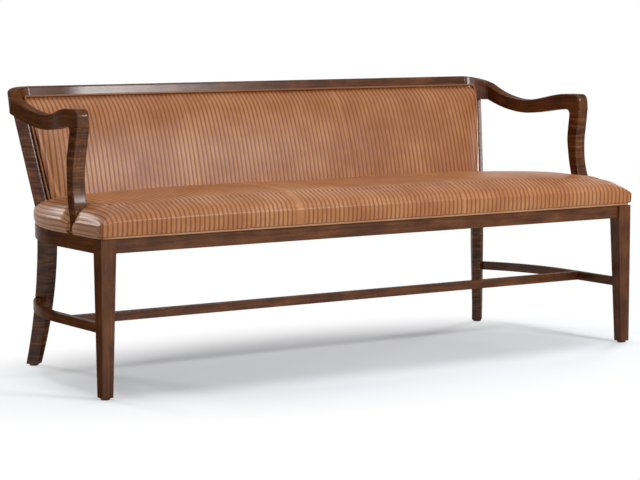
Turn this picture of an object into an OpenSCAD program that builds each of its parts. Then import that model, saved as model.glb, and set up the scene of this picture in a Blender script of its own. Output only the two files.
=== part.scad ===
// Long upholstered bench with a wooden show frame: tapered front legs, raked rear
// posts, a crest rail that turns into serpentine arms, an H stretcher under the
// seat, a crowned seat and a padded back.
// Millimetres. X runs along the bench, Y from front to back, Z up.
// The origin is on the floor, under the middle of the whole bench.

/* [Overall] */
// Width over the outer faces of the front legs
bench_w = 1846; // [1400:2:2200]
// Height of the top of the seat rails above the floor
rail_top_z = 429; // [380:1:470]
// Height of the top of the crest rail above the floor
crest_top_z = 809; // [760:1:880]

/* [Front legs] */
// Side of the square leg where the seat rails join it
leg_w = 45.5; // [38:0.5:60]
// Side of the square leg at the floor
leg_foot_w = 32.5; // [24:0.5:36]

/* [Seat rails] */
// Height of the seat rails
rail_h = 39; // [32:1:46]
// Thickness of the front and side rails
rail_t = 24; // [20:1:27]
// How far the front rail's face stands behind the legs' faces
front_rail_setback = 8; // [2:0.5:12]
// Thickness of the rear rail
rear_rail_t = 30; // [28:1:36]
// Outer radius of the sweep that carries each side rail in to its rear post
bend_r = 600; // [560:5:640]
// Depth at which the side rails start to sweep inwards
bend_start = 250; // [240:5:262]
// Angle of the sweep where it meets the rear post
post_turn = 35.4; // [33:0.2:37]
// Width of the cross rails under the seat
cross_rail_w = 26; // [20:1:40]
// Half the distance between the outer cross rails, which is also where the seat is seamed
seam_x = 276; // [240:2:330]
// Length of the tenons on the front and side rails
rail_tenon = 18; // [12:1:20]
// Thickness of the tenons on the rails
tenon_t = 10; // [8:0.5:12]

/* [Rear posts] */
// Width of the rear post's outer face, where the side rail meets it
post_face_w = 34.5; // [32:0.5:40]
// Width of the rear post's front face
post_front_w = 29.5; // [27:0.5:33]
// Depth of the rear post from its front edge to its rear edge
post_depth = 43; // [38:0.5:50]
// How far the foot of the rear post sweeps outwards and backwards
foot_sweep = 28; // [15:1:40]
// Height over which the post bends from upright into its lean
lean_ease = 12; // [6:1:16]
// Outward lean of the post above the seat, per millimetre of height
post_flare = 0.132; // [0.1:0.002:0.15]
// Backward lean of the post and of the crest rail, per millimetre of height
back_rake = 0.23; // [0.2:0.005:0.25]

/* [Stretchers] */
// Height of the top of the stretchers above the floor
stretcher_top_z = 201.5; // [150:0.5:260]
// Height of the stretchers
stretcher_h = 26; // [20:1:34]
// Thickness of the stretchers
stretcher_t = 20; // [16:1:22]
// How far the side stretchers stand in from the outer faces of the front legs
stretcher_in = 9.9; // [7:0.1:11]
// Depth of the middle of the long stretcher
centre_stretcher_y = 223; // [120:1:250]

/* [Crest rail] */
// Height of the crest rail
crest_h = 75; // [66:1:80]
// Thickness of the crest rail
crest_t = 35; // [30:0.5:40]
// How far the plane of the back frame stands behind the front edge of the posts, at the rails
back_set = 13.9; // [11:0.1:16]
// Inner radius of the crest rail's corners
corner_r = 55; // [48:1:62]
// How far the arms' outer faces stand in from the outer faces of the legs, at the crest
arm_rear_in = 41.9; // [38:0.1:45]
// Fall of the top edge round the corner, from the crest to the arm
corner_fall = 27; // [18:1:34]

/* [Arms] */
// Height of the top of the arm at its nose
arm_nose_z = 765; // [740:1:780]
// Height of the top of the arm at the bottom of its dip
arm_dip_z = 740.5; // [725:0.5:755]
// Thickness of the arm at its dip, from top to underside
arm_dip_h = 42; // [34:0.5:50]
// Thickness of the arm over its post
arm_nose_h = 49; // [42:0.5:56]
// Depth of the bottom of the dip
arm_dip_y = 425; // [400:5:450]
// Depth of the front end of the arm
arm_front_y = 176.5; // [170:0.5:182]
// Depth of the level part of the arm over its post
arm_seat_l = 64; // [60:1:70]
// Radius of the nose
nose_r = 22; // [14:1:26]
// Width of the arm at its nose
arm_nose_w = 37; // [34:0.5:42]
// Width of the arm at its dip
arm_dip_w = 33; // [28:0.5:38]
// How far the middle of the nose stands in from the outer faces of the legs
arm_nose_in = 44.4; // [42:0.2:48]
// How far the middle of the dip stands in from the outer faces of the legs
arm_dip_in = 65.9; // [60:0.2:72]

/* [Arm posts] */
// Depth of the middle of the post where it stands on the side rail
arm_post_y = 181; // [178:0.5:184]
// How far the middle of the foot stands in from the outer faces of the legs
arm_post_in = 28.4; // [27:0.2:31]
// Width of the post at its foot
arm_post_foot_w = 39; // [37:0.5:42]
// Height of the tongue that laps the inside of the side rail
arm_post_lap = 32; // [24:1:34]

/* [Seat] */
// Height of the crown of the seat above the floor
seat_top_z = 533.5; // [520:0.5:545]
// Height of the seat's upper edge at its ends
seat_edge_z = 471; // [462:1:480]
// Height of the seat's upper edge at its front
seat_front_z = 487; // [478:1:495]
// Height of the seat where it meets the back
seat_rear_z = 498; // [492:1:512]
// How far the leather of the seat stands out past the piping
seat_bulge = 5; // [3:0.5:8]
// How far the back of the seat cover stands in front of the front edge of the posts
seat_back_in = 4.7; // [3:0.1:8]
// Thickness of the plywood deck
deck_t = 12; // [9:1:15]
// Height of the foam above the deck
seat_foam_h = 40; // [30:1:42]
// Diameter of the piping
piping_d = 6.2; // [4:0.2:6.4]

/* [Back] */
// Thickness of the padded back where it meets the seat
pad_low_t = 34.1; // [30:0.1:37]
// Thickness of the padded back at its top edge
pad_top_t = 7.6; // [6:0.1:10]
// Height of the crest rail's face that shows above the leather
crest_reveal = 31; // [26:1:38]
// Bare strip of post beside the padded back
post_reveal = 15; // [12:0.5:18]
// Thickness of the plywood board behind the foam
board_t = 5; // [4:0.5:6]
// Thickness of the uprights of the back frame
upright_t = 14; // [12:0.5:15]
// Width of the uprights of the back frame
upright_w = 45; // [35:1:60]
// Half the distance between the uprights, which is also where the back is seamed
back_seam_x = 276; // [230:1:320]
// Height of the lower rail of the back frame
lower_rail_h = 45; // [35:1:50]

/* [Fastenings and feet] */
// Diameter of the dowels in the rails, posts and arms
dowel_d = 8; // [6:0.5:9]
// Length of the dowels
dowel_l = 36; // [30:1:38]
// Diameter of the floor glides
glide_d = 26; // [20:1:28]
// Height of the floor glides
glide_h = 5.6; // [4:0.2:8]
// How far the outer deck screws stand in from the front and rear rails
deck_screw_in = 60; // [40:1:90]
// Diameter of the screws
screw_d = 4.5; // [3.5:0.1:5]
// How far the corner blocks reach along the rails past the legs
block_reach = 50; // [40:1:70]
// Length of the corner blocks' screws
block_screw_l = 47; // [35:1:50]

/* [Fits] */
// Clearance round tenons and dowels
joint_gap = 0.1; // [0.05:0.05:0.2]
// Clearance between soft pieces and the frame
soft_gap = 0.3; // [0.2:0.05:0.5]
// Width of the eased edge on the shaped wooden pieces
ease = 2; // [1:0.5:3]

/* [Hidden] */

$fn = 96;

walnut = "#4f3323";
plain_wood = "#c9a679";
leather = "#b57a55";
foam_colour = "#e8dfc8";
steel = "#9a9a9a";
dark_plastic = "#241d19";

half_w = bench_w / 2;
rail_bottom_z = rail_top_z - rail_h;
crest_bottom_z = crest_top_z - crest_h;
bend_x = half_w - bend_r;
// The front edge of each rear post, which the seat, the back and the crest rail are set from
post_b = [bend_x, bend_start] + (bend_r + 2 - post_face_w) * [cos(post_turn), sin(post_turn)];
function back_plane_y(z) = post_b[1] + back_set + back_rake * (z - rail_top_z);
crest_front_y = back_plane_y(crest_top_z);
seat_back_y = post_b[1] - seat_back_in;
// The front of the seat stands out past the legs, and the crest rail is the rearmost piece
depth_front = -seat_bulge;
depth_back = crest_front_y + crest_t - ease * back_rake / norm([1, back_rake]);
mid_y = (depth_front + depth_back) / 2;

function lerp(a, b, t) = a + (b - a) * t;
function clamp01(t) = min(1, max(0, t));
// Rises from 0 to 1 with a level start and a level end
function sway(t) = (1 - cos(180 * clamp01(t))) / 2;
function unit(v) = v / norm(v);
function polar(r, a) = [r * cos(a), r * sin(a)];

// Value of column k at q, on a smooth curve through the rows, which start with their own q
function row_at(rows, q, i = 0) =
    (i >= len(rows) - 2 || q <= rows[i + 1][0]) ? i : row_at(rows, q, i + 1);
function row_slope(rows, i, k) =
    let (a = max(0, i - 1), b = min(len(rows) - 1, i + 1))
    (rows[b][k] - rows[a][k]) / (rows[b][0] - rows[a][0]);
function through(rows, q, k) =
    let (i = row_at(rows, q), h = rows[i + 1][0] - rows[i][0], t = (q - rows[i][0]) / h)
    (2 * t * t * t - 3 * t * t + 1) * rows[i][k]
    + (t * t * t - 2 * t * t + t) * h * row_slope(rows, i, k)
    + (3 * t * t - 2 * t * t * t) * rows[i + 1][k]
    + (t * t * t - t * t) * h * row_slope(rows, i + 1, k);

// Solid through a list of rings, each with the same number of points, anticlockwise as
// seen from the far end
module loft(rings) {
    n = len(rings[0]);
    m = len(rings);
    points = [for (r = rings) for (p = r) p];
    sides = [
        for (k = [0:m - 2]) for (i = [0:n - 1])
            let (a = k * n + i, b = k * n + (i + 1) % n)
            each [[a, a + n, b + n], [a, b + n, b]]
    ];
    start = [for (i = [1:n - 2]) [0, i, i + 1]];
    end = [for (i = [1:n - 2]) [(m - 1) * n, (m - 1) * n + i + 1, (m - 1) * n + i]];
    polyhedron(points, concat(sides, start, end), convexity = 6);
}

// The corners of a section with each sharp corner cut back by the width of the eased edge
function eased(c, e = ease) = [
    for (i = [0:len(c) - 1])
        let (before = c[(i + len(c) - 1) % len(c)], after = c[(i + 1) % len(c)])
        each [c[i] + e * unit(before - c[i]), c[i] + e * unit(after - c[i])]
];

module placed() {
    translate([0, -mid_y, 0]) children();
}
// Worked out as one smooth skin of facets, at its own size
module soft_shell() {
    resize([0, 0, 0]) children();
}
module on_left() {
    mirror([1, 0, 0]) children();
}
module both_sides() {
    children();
    mirror([1, 0, 0]) children();
}
// Box from its low corner to its high corner, grown by a clearance on every side
module box(low, high, grow = 0) {
    g = [grow, grow, grow];
    translate(low - g) cube(high - low + 2 * g);
}
// Prism along X from an outline in depth and height
module along_x(x0, x1) {
    translate([x0, 0, 0]) rotate([90, 0, 90]) linear_extrude(x1 - x0) children();
}
// Prism along Y from an outline in width and height
module along_y(y0, y1) {
    translate([0, y1, 0]) rotate([90, 0, 0]) linear_extrude(y1 - y0) children();
}
// Round bar between two points
module rod(a, b, d) {
    v = b - a;
    turn = atan2(v[1], v[0]);
    tilt = acos(v[2] / norm(v));
    translate(a) rotate([0, tilt, turn]) cylinder(d = d, h = norm(v));
}

// Round cord along a path of points; the side it is drawn from is never along the path
module cord(path, d, side) {
    last = len(path) - 1;
    loft([
        for (i = [0:last])
            let (
                along = unit(path[min(last, i + 1)] - path[max(0, i - 1)]),
                u = unit(cross(side, along)),
                v = cross(along, u)
            )
            [for (a = [0:45:315]) path[i] + d / 2 * (cos(a) * u + sin(a) * v)]
    ]);
}

// FRONT LEGS
// The outer front corner stands upright and the two inner faces taper below the rails.

module leg_solid(grow = 0) {
    function section(w, z) = [
        [half_w - w - grow, -grow, z],
        [half_w + grow, -grow, z],
        [half_w + grow, w + grow, z],
        [half_w - w - grow, w + grow, z],
    ];
    loft([section(leg_foot_w, glide_h), section(leg_w, rail_bottom_z), section(leg_w, rail_top_z)]);
}
tenon_low_z = rail_bottom_z + 6;
tenon_high_z = rail_top_z - 7;
front_tenon_y = front_rail_setback + rail_t / 2;
side_tenon_x = half_w - rail_t / 2;
module front_rail_tenon(grow = 0) {
    box(
        [half_w - leg_w - 1, front_tenon_y - tenon_t / 2, tenon_low_z],
        [half_w - leg_w + rail_tenon, front_tenon_y + tenon_t / 2, tenon_high_z],
        grow
    );
}
module side_rail_tenon(grow = 0) {
    box(
        [side_tenon_x - tenon_t / 2, leg_w - rail_tenon, tenon_low_z],
        [side_tenon_x + tenon_t / 2, leg_w + 1, tenon_high_z],
        grow
    );
}
stretcher_x0 = half_w - stretcher_in - stretcher_t;
stretcher_x1 = half_w - stretcher_in;
stretcher_low_z = stretcher_top_z - stretcher_h;
stretcher_mid_z = stretcher_top_z - stretcher_h / 2;
stretcher_tenon_t = stretcher_t * 0.4;
stretcher_tenon_h = stretcher_h * 0.6;
leg_w_at_stretcher = lerp(leg_foot_w, leg_w, (stretcher_mid_z - glide_h) / (rail_bottom_z - glide_h));
stretcher_tenon = 14;
module side_stretcher_tenon(grow = 0) {
    mid_x = (stretcher_x0 + stretcher_x1) / 2;
    box(
        [mid_x - stretcher_tenon_t / 2, leg_w_at_stretcher - stretcher_tenon, stretcher_mid_z - stretcher_tenon_h / 2],
        [mid_x + stretcher_tenon_t / 2, leg_w_at_stretcher + 3, stretcher_mid_z + stretcher_tenon_h / 2],
        grow
    );
}
nail_d = 2.5;
nail_l = 18;
nail_head_d = 9;
nail_head_h = 1.5;
front_glide = [half_w - leg_foot_w / 2, leg_foot_w / 2];
module leg_nail_hole(at) {
    translate([at[0], at[1], glide_h - 1]) cylinder(d = nail_d + 2 * joint_gap, h = nail_l - glide_h + 3);
}
module front_leg_solid() {
    difference() {
        leg_solid();
        front_rail_tenon(joint_gap);
        side_rail_tenon(joint_gap);
        side_stretcher_tenon(joint_gap);
        block_screw(joint_gap);
        leg_nail_hole(front_glide);
    }
}
module front_leg_right() {
    color(walnut) placed() front_leg_solid();
}
module front_leg_left() {
    color(walnut) placed() on_left() front_leg_solid();
}

// REAR POSTS
// Each post is one piece from the floor to the crest. Its outer face is square to the
// swept side rail. Below the seat it sweeps out like a sabre, and above it leans out and back.

waist_z = rail_bottom_z - 5;
function lean_run(z) =
    let (rise = max(0, z - rail_top_z))
    rise - lean_ease * (1 - exp(-rise / lean_ease));
function foot_part(z) = pow(clamp01((waist_z - z) / waist_z), 2);
function post_shift(z) =
    foot_sweep * foot_part(z) * [1, 1] + [post_flare, back_rake] * lean_run(z);
function post_corners(z) =
    let (
        f = foot_part(z),
        b = post_b + post_shift(z),
        outer = lerp(polar(post_face_w, post_turn), polar(post_face_w + 2, 47), f),
        inner = lerp(polar(post_front_w, 174), polar(post_front_w + 1.5, 137), f),
        rear = lerp(polar(post_depth, 102), polar(post_depth + 5, 88), f)
    )
    [b, b + outer, b + rear, b + inner];
function post_ring(z, grow) =
    let (c = post_corners(z), mid = (c[0] + c[1] + c[2] + c[3]) / 4)
    [for (p = eased([for (q = c) q + grow * 1.4 * unit(q - mid)])) [p[0], p[1], z]];
post_levels = concat(
    [for (k = [0:8]) lerp(glide_h, waist_z, k / 8)],
    [for (k = [0, 1, 2.2, 3.75]) rail_top_z + k * lean_ease],
    [for (k = [1:4]) lerp(rail_top_z + 3.75 * lean_ease, crest_bottom_z, k / 4)]
);
module post_solid(grow = 0) {
    loft([for (z = post_levels) post_ring(z + (z == crest_bottom_z ? grow : 0), grow)]);
}
// Middle of the post at a height, where its glide and its top dowel go
function post_middle(z) =
    let (c = post_corners(z))
    (c[0] + c[1] + c[2] + c[3]) / 4;
rear_glide = post_middle(glide_h);
rail_dowel_z = [rail_bottom_z + rail_h * 0.27, rail_bottom_z + rail_h * 0.75];
// Where the middle of the side rail meets the post, and the way it runs there
rail_end = [bend_x, bend_start] + polar(bend_r - rail_t / 2, post_turn);
rail_end_run = polar(1, post_turn + 90);
module side_rail_dowels(grow = 0) {
    for (z = rail_dowel_z) {
        a = rail_end - rail_end_run * dowel_l / 2;
        b = rail_end + rail_end_run * dowel_l / 2;
        rod([a[0], a[1], z] - grow * [rail_end_run[0], rail_end_run[1], 0],
            [b[0], b[1], z] + grow * [rail_end_run[0], rail_end_run[1], 0],
            dowel_d + 2 * grow);
    }
}
// Where a depth line crosses the inner rear face of the post
function post_inner_x(y, z) =
    let (c = post_corners(z))
    lerp(c[3][0], c[2][0], (y - c[3][1]) / (c[2][1] - c[3][1]));
rear_rail_y = post_b[1] + 9;
// The rear rail and what stands above it run into the posts as far as their rear corners
rear_rail_x = post_corners(rail_top_z)[2][0] - 0.5;
rear_dowel_y = rear_rail_y + rear_rail_t * 0.35;
module rear_rail_dowels(grow = 0) {
    x = post_inner_x(rear_dowel_y, rail_top_z);
    for (z = rail_dowel_z)
        rod([x - dowel_l * 0.6 - grow, rear_dowel_y, z], [x + dowel_l * 0.4 + grow, rear_dowel_y, z],
            dowel_d + 2 * grow);
}
lower_rail_z = rail_top_z + 26;
lower_dowel_z = lower_rail_z + lower_rail_h / 2;
lower_dowel_y = back_plane_y(lower_dowel_z) + board_t + upright_t / 2;
module lower_rail_dowels(grow = 0) {
    x = post_inner_x(lower_dowel_y, lower_dowel_z);
    rod([x - dowel_l * 0.6 - grow, lower_dowel_y, lower_dowel_z],
        [x + dowel_l * 0.4 + grow, lower_dowel_y, lower_dowel_z],
        dowel_d + 2 * grow);
}
// The side stretcher's outer face runs through the post's outer corner
stretcher_r = bend_r - stretcher_in;
post_outer = post_corners(stretcher_mid_z)[1];
stretcher_bend = post_outer[1] - sqrt(pow(stretcher_r, 2) - pow(post_outer[0] - bend_x, 2));
stretcher_turn = atan2(post_outer[1] - stretcher_bend, post_outer[0] - bend_x);
module stretcher_dowel(grow = 0) {
    run = polar(1, stretcher_turn + 90);
    mid = [bend_x, stretcher_bend] + polar(stretcher_r - stretcher_t / 2, stretcher_turn)
        - run * stretcher_t * 0.1;
    a = mid - run * (dowel_l / 2 + grow);
    b = mid + run * (dowel_l / 2 + grow);
    rod([a[0], a[1], stretcher_mid_z], [b[0], b[1], stretcher_mid_z], dowel_d + 2 * grow);
}
module post_top_dowel(grow = 0) {
    at = corner_point(45, corner_r + crest_t / 2, crest_bottom_z);
    translate([at[0], at[1], crest_bottom_z - dowel_l / 2 - grow])
        cylinder(d = dowel_d + 2 * grow, h = dowel_l + 2 * grow);
}
module rear_post_solid() {
    difference() {
        post_solid();
        side_rail_dowels(joint_gap);
        rear_rail_dowels(joint_gap);
        lower_rail_dowels(joint_gap);
        stretcher_dowel(joint_gap);
        post_top_dowel(joint_gap);
        leg_nail_hole(rear_glide);
    }
}
module rear_post_right() {
    color(walnut) placed() rear_post_solid();
}
module rear_post_left() {
    color(walnut) placed() on_left() rear_post_solid();
}

// SEAT RAILS

cross_rail_x = [for (k = [-2.1, -1, 0, 1, 2.1]) k * seam_x];
cross_tenon = 9;
cross_tenon_t = 12;
cross_rail_z = rail_bottom_z + 5;
front_rail_back = front_rail_setback + rail_t;
module cross_tenons(grow = 0) {
    for (x = cross_rail_x)
        box([x - cross_tenon_t / 2, front_rail_back - cross_tenon, cross_rail_z + 6],
            [x + cross_tenon_t / 2, rear_rail_y + cross_tenon, rail_top_z - 8], grow);
}
module front_rail() {
    color(walnut) placed() difference() {
        union() {
            box([-half_w + leg_w, front_rail_setback, rail_bottom_z],
                [half_w - leg_w, front_rail_back, rail_top_z]);
            both_sides() front_rail_tenon();
        }
        cross_tenons(joint_gap);
    }
}
module rear_rail() {
    color(walnut) placed() difference() {
        box([-rear_rail_x, rear_rail_y, rail_bottom_z], [rear_rail_x, rear_rail_y + rear_rail_t, rail_top_z]);
        both_sides() post_solid(joint_gap);
        both_sides() rear_rail_dowels(joint_gap);
        cross_tenons(joint_gap);
        lower_edge_staples_relief();
    }
}
// Shallow rebate along the foot of the outside back cover
module lower_edge_staples_relief() {
    box([-post_b[0], rear_rail_y + rear_rail_t - 0.5, rail_top_z - 4],
        [post_b[0], rear_rail_y + rear_rail_t + 1, rail_top_z + 1]);
}
// Plan of a member that runs straight back from the front leg and then sweeps inwards
module swept_plan(outer_r, start, t, from_y) {
    union() {
        translate([bend_x + outer_r - t, from_y]) square([t, start - from_y]);
        intersection() {
            difference() {
                translate([bend_x, start]) circle(r = outer_r, $fn = 360);
                translate([bend_x, start]) circle(r = outer_r - t, $fn = 360);
            }
            translate([bend_x, start]) square(outer_r + 1);
        }
    }
}
module side_rail_solid() {
    difference() {
        union() {
            translate([0, 0, rail_bottom_z]) linear_extrude(rail_h) intersection() {
                swept_plan(bend_r, bend_start, rail_t, leg_w);
                behind_ray([bend_x, bend_start], post_turn);
            }
            side_rail_tenon();
        }
        side_rail_dowels(joint_gap);
        arm_post_screw_holes();
    }
}
// Half plane in front of a ray from a centre at an angle
module behind_ray(centre, turn) {
    far = 2 * bend_r;
    a = centre - polar(far, turn);
    b = centre + polar(far, turn);
    down = polar(far, turn - 90);
    polygon([a, a + down, b + down, b]);
}
module side_rail_right() {
    color(walnut) placed() side_rail_solid();
}
module side_rail_left() {
    color(walnut) placed() on_left() side_rail_solid();
}
deck_screw_y = [
    front_rail_back + deck_screw_in, (front_rail_back + rear_rail_y) / 2, rear_rail_y - deck_screw_in,
];
deck_screw_l = 30;
deck_top_z = rail_top_z + deck_t;
module deck_screws_solid(grow = 0) {
    head_h = 3;
    for (x = cross_rail_x) for (y = deck_screw_y) translate([x, y, 0]) {
        translate([0, 0, deck_top_z - deck_screw_l - grow])
            cylinder(d = screw_d + 2 * grow, h = deck_screw_l + grow - head_h / 2);
        translate([0, 0, deck_top_z - head_h - 0.2 - grow])
            cylinder(d = 2 * screw_d + 2 * grow, h = head_h + grow * 2 + (grow > 0 ? 1 : 0));
    }
}
module cross_rails() {
    color(plain_wood) placed() difference() {
        union() {
            for (x = cross_rail_x)
                box([x - cross_rail_w / 2, front_rail_back, cross_rail_z],
                    [x + cross_rail_w / 2, rear_rail_y, rail_top_z]);
            cross_tenons();
        }
        deck_screws_solid(joint_gap);
    }
}

// CORNER BLOCKS
// A glued and screwed block stiffens each front corner behind the leg.

block_low_z = rail_bottom_z + 6;
block_high_z = rail_top_z - 6;
block_mid_z = (block_low_z + block_high_z) / 2;
block_a = [half_w - leg_w - block_reach, front_rail_back + joint_gap];
block_b = [half_w - rail_t - joint_gap, leg_w + block_reach];
module block_screw(grow = 0) {
    toward = unit([half_w - leg_w, leg_w] + [6, -6] - (block_a + block_b) / 2);
    a = (block_a + block_b) / 2 - toward * (3 + grow);
    head_end = a + toward * (3 + grow * 2);
    b = a + toward * (block_screw_l + 2 * grow);
    rod([a[0], a[1], block_mid_z], [b[0], b[1], block_mid_z], screw_d + 2 * grow);
    if (grow == 0)
        rod([a[0], a[1], block_mid_z], [head_end[0], head_end[1], block_mid_z], 2 * screw_d);
}
module corner_block_solid() {
    difference() {
        translate([0, 0, block_low_z]) linear_extrude(block_high_z - block_low_z) polygon([
            block_a,
            [half_w - leg_w - joint_gap, front_rail_back + joint_gap],
            [half_w - leg_w - joint_gap, leg_w + joint_gap],
            [half_w - rail_t - joint_gap, leg_w + joint_gap],
            block_b,
        ]);
        block_screw(joint_gap);
    }
}
module corner_blocks() {
    color(plain_wood) placed() both_sides() corner_block_solid();
}
module corner_block_screws() {
    color(steel) placed() both_sides() block_screw();
}
module rail_dowels() {
    color(plain_wood) placed() both_sides() {
        side_rail_dowels();
        rear_rail_dowels();
        lower_rail_dowels();
    }
}

// CREST RAIL AND CORNERS

corner_x = half_w - arm_rear_in - crest_t - corner_r;
corner_y = crest_front_y - corner_r;
arm_rear_top = crest_top_z - corner_fall;
module crest_rail() {
    drop = back_rake * crest_h;
    back = crest_front_y + crest_t;
    section = eased([
        [crest_front_y - drop, crest_bottom_z],
        [back - drop, crest_bottom_z],
        [back, crest_top_z],
        [crest_front_y, crest_top_z],
    ]);
    color(walnut) placed() difference() {
        along_x(-corner_x, corner_x) polygon(section);
        both_sides() crest_end_dowels(joint_gap);
        upright_dowels(joint_gap);
    }
}
// The lean of the corner fades from the crest's rake to upright where the arm starts
function corner_lean(a) = [post_flare * sin(2 * a), back_rake * sin(a)];
function corner_point(a, r, z) =
    let (p = [corner_x, corner_y] + polar(r, a) + corner_lean(a) * (z - crest_top_z))
    [p[0], p[1], z];
function corner_top(a) = crest_top_z - corner_fall * pow((90 - a) / 90, 2);
function corner_ring(a, grow) = eased([
    corner_point(a, corner_r - grow, crest_bottom_z - grow),
    corner_point(a, corner_r + crest_t + grow, crest_bottom_z - grow),
    corner_point(a, corner_r + crest_t + grow, corner_top(a) + grow),
    corner_point(a, corner_r - grow, corner_top(a) + grow),
]);
module crest_corner_body(grow = 0) {
    loft([for (a = [90:-7.5:0]) corner_ring(a, grow)]);
}
module crest_end_dowels(grow = 0) {
    for (k = [0.27, 0.73]) {
        z = crest_bottom_z + k * crest_h;
        y = back_plane_y(z) + crest_t / 2;
        rod([corner_x - dowel_l / 2 - grow, y, z], [corner_x + dowel_l / 2 + grow, y, z], dowel_d + 2 * grow);
    }
}
module arm_rear_dowels(grow = 0) {
    x = corner_x + corner_r + crest_t / 2;
    for (k = [0.25, 0.75]) {
        z = lerp(crest_bottom_z, arm_rear_top, k);
        rod([x, corner_y - dowel_l / 2 - grow, z], [x, corner_y + dowel_l / 2 + grow, z], dowel_d + 2 * grow);
    }
}
module crest_corner_solid() {
    difference() {
        crest_corner_body();
        crest_end_dowels(joint_gap);
        arm_rear_dowels(joint_gap);
        post_top_dowel(joint_gap);
    }
}
module crest_corner_right() {
    color(walnut) placed() crest_corner_solid();
}
module crest_corner_left() {
    color(walnut) placed() on_left() crest_corner_solid();
}
module crest_dowels() {
    color(plain_wood) placed() {
        both_sides() {
            crest_end_dowels();
            post_top_dowel();
        }
        upright_dowels();
    }
}

// ARMS
// Each arm leaves the corner block, falls to a dip, rises and sways out to its nose.

arm_dip_bottom = arm_dip_z - arm_dip_h;
arm_nose_bottom = arm_nose_z - arm_nose_h;
arm_seat_y = arm_front_y + arm_seat_l;
function rear_part(y) = clamp01((y - arm_dip_y) / (corner_y - arm_dip_y));
function front_part(y) = sway((arm_dip_y - y) / (arm_dip_y - arm_seat_y));
function nose_drop(y) =
    let (t = clamp01((arm_front_y + nose_r - y) / nose_r))
    nose_r * (1 - sqrt(1 - t * t));
function arm_top(y) = y > arm_dip_y
    ? lerp(arm_dip_z, arm_rear_top, pow(rear_part(y), 2))
    : lerp(arm_dip_z, arm_nose_z, front_part(y)) - nose_drop(y);
function arm_bottom(y) = y > arm_dip_y
    ? lerp(arm_dip_bottom, crest_bottom_z, pow(rear_part(y), 1.8))
    : lerp(arm_dip_bottom, arm_nose_bottom, front_part(y));
function arm_mid(y) = half_w - (y > arm_dip_y
    ? lerp(arm_dip_in, arm_rear_in + crest_t / 2, pow(rear_part(y), 2))
    : lerp(arm_dip_in, arm_nose_in, front_part(y)));
function arm_width(y) = y > arm_dip_y
    ? lerp(arm_dip_w, crest_t, pow(rear_part(y), 2))
    : lerp(arm_dip_w, arm_nose_w, front_part(y));
function arm_ring(y) =
    let (x = arm_mid(y), w = arm_width(y) / 2)
    eased([[x - w, y, arm_bottom(y)], [x + w, y, arm_bottom(y)], [x + w, y, arm_top(y)], [x - w, y, arm_top(y)]]);
arm_stations = concat(
    [for (k = [0:9]) lerp(corner_y, arm_dip_y, k / 9)],
    [for (k = [1:9]) lerp(arm_dip_y, arm_seat_y, k / 9)],
    [for (a = [0:18:90]) arm_front_y + nose_r * (1 - sin(a))]
);
module arm_solid() {
    difference() {
        loft([for (y = arm_stations) arm_ring(y)]);
        arm_rear_dowels(joint_gap);
        arm_post_dowels(joint_gap);
    }
}
module arm_right() {
    color(walnut) placed() arm_solid();
}
module arm_left() {
    color(walnut) placed() on_left() arm_solid();
}

// ARM POSTS
// A swaying post from the side rail to the arm. Its rows give the height above the rail
// as a share of the post, how far its middle sways back from its foot, and its depth.

arm_post_h = arm_nose_bottom - rail_top_z;
arm_post_rows = [
    [0.00, 0.0, 32],
    [0.09, 3.0, 35],
    [0.16, 7.5, 39],
    [0.22, 14.0, 40],
    [0.28, 22.0, 37],
    [0.36, 28.5, 36],
    [0.46, 33.5, 36],
    [0.57, 35.5, 39],
    [0.68, 35.5, 43],
    [0.80, 30.0, 45],
    [0.92, 23.5, 45.5],
    [1.00, 21.0, 47],
];
// The back of the post flares into the underside of the arm
flare_r = 14;
function arm_post_flare(t) =
    let (s = clamp01((t * arm_post_h - (arm_post_h - flare_r)) / flare_r))
    flare_r * (1 - sqrt(1 - s * s));
function arm_post_x(t) = half_w - lerp(arm_post_in, arm_nose_in, pow(t, 0.65));
function arm_post_w(t) = lerp(arm_post_foot_w, arm_nose_w, t);
function arm_post_ring(t, grow, reach) =
    let (
        x = arm_post_x(t),
        w = arm_post_w(t) / 2 + grow,
        y = arm_post_y + through(arm_post_rows, t, 1),
        d = through(arm_post_rows, t, 2) / 2 + grow,
        z = rail_top_z + t * arm_post_h,
        back = y + d + arm_post_flare(t)
    )
    eased([[x - w, y - d, z], [x + w + reach, y - d, z], [x + w + reach, back, z], [x - w, back, z]]);
arm_post_levels = concat(
    [for (k = [0:9]) 0.45 * k / 9],
    [for (k = [1:6]) lerp(0.45, 1 - flare_r / arm_post_h, k / 6)],
    [for (a = [30, 55, 75]) 1 - flare_r / arm_post_h * (1 - sin(a))]
);
arm_lap_x = half_w - rail_t - joint_gap;
module arm_post_body(grow = 0, reach = 0) {
    loft([for (t = arm_post_levels) arm_post_ring(t, grow, reach)]);
}
arm_post_inner_x = arm_post_x(0) - arm_post_w(0) / 2;
arm_screw_z = [rail_bottom_z + 13, rail_bottom_z + 27];
arm_screw_l = 36;
module arm_post_screw_solids(grow = 0) {
    for (z = arm_screw_z) {
        rod([arm_post_inner_x - 2.5 - grow, arm_post_y, z],
            [arm_post_inner_x - 2.5 + arm_screw_l + grow, arm_post_y, z], screw_d + 2 * grow);
        if (grow == 0)
            rod([arm_post_inner_x - 2.5, arm_post_y, z], [arm_post_inner_x, arm_post_y, z], 2 * screw_d);
    }
}
module arm_post_screw_holes() {
    arm_post_screw_solids(joint_gap);
}
arm_post_dowel_y = arm_post_y + 24;
module arm_post_dowels(grow = 0) {
    translate([half_w - arm_nose_in, arm_post_dowel_y, arm_nose_bottom - dowel_l / 2 - grow])
        cylinder(d = dowel_d + 2 * grow, h = dowel_l + 2 * grow);
}
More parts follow.
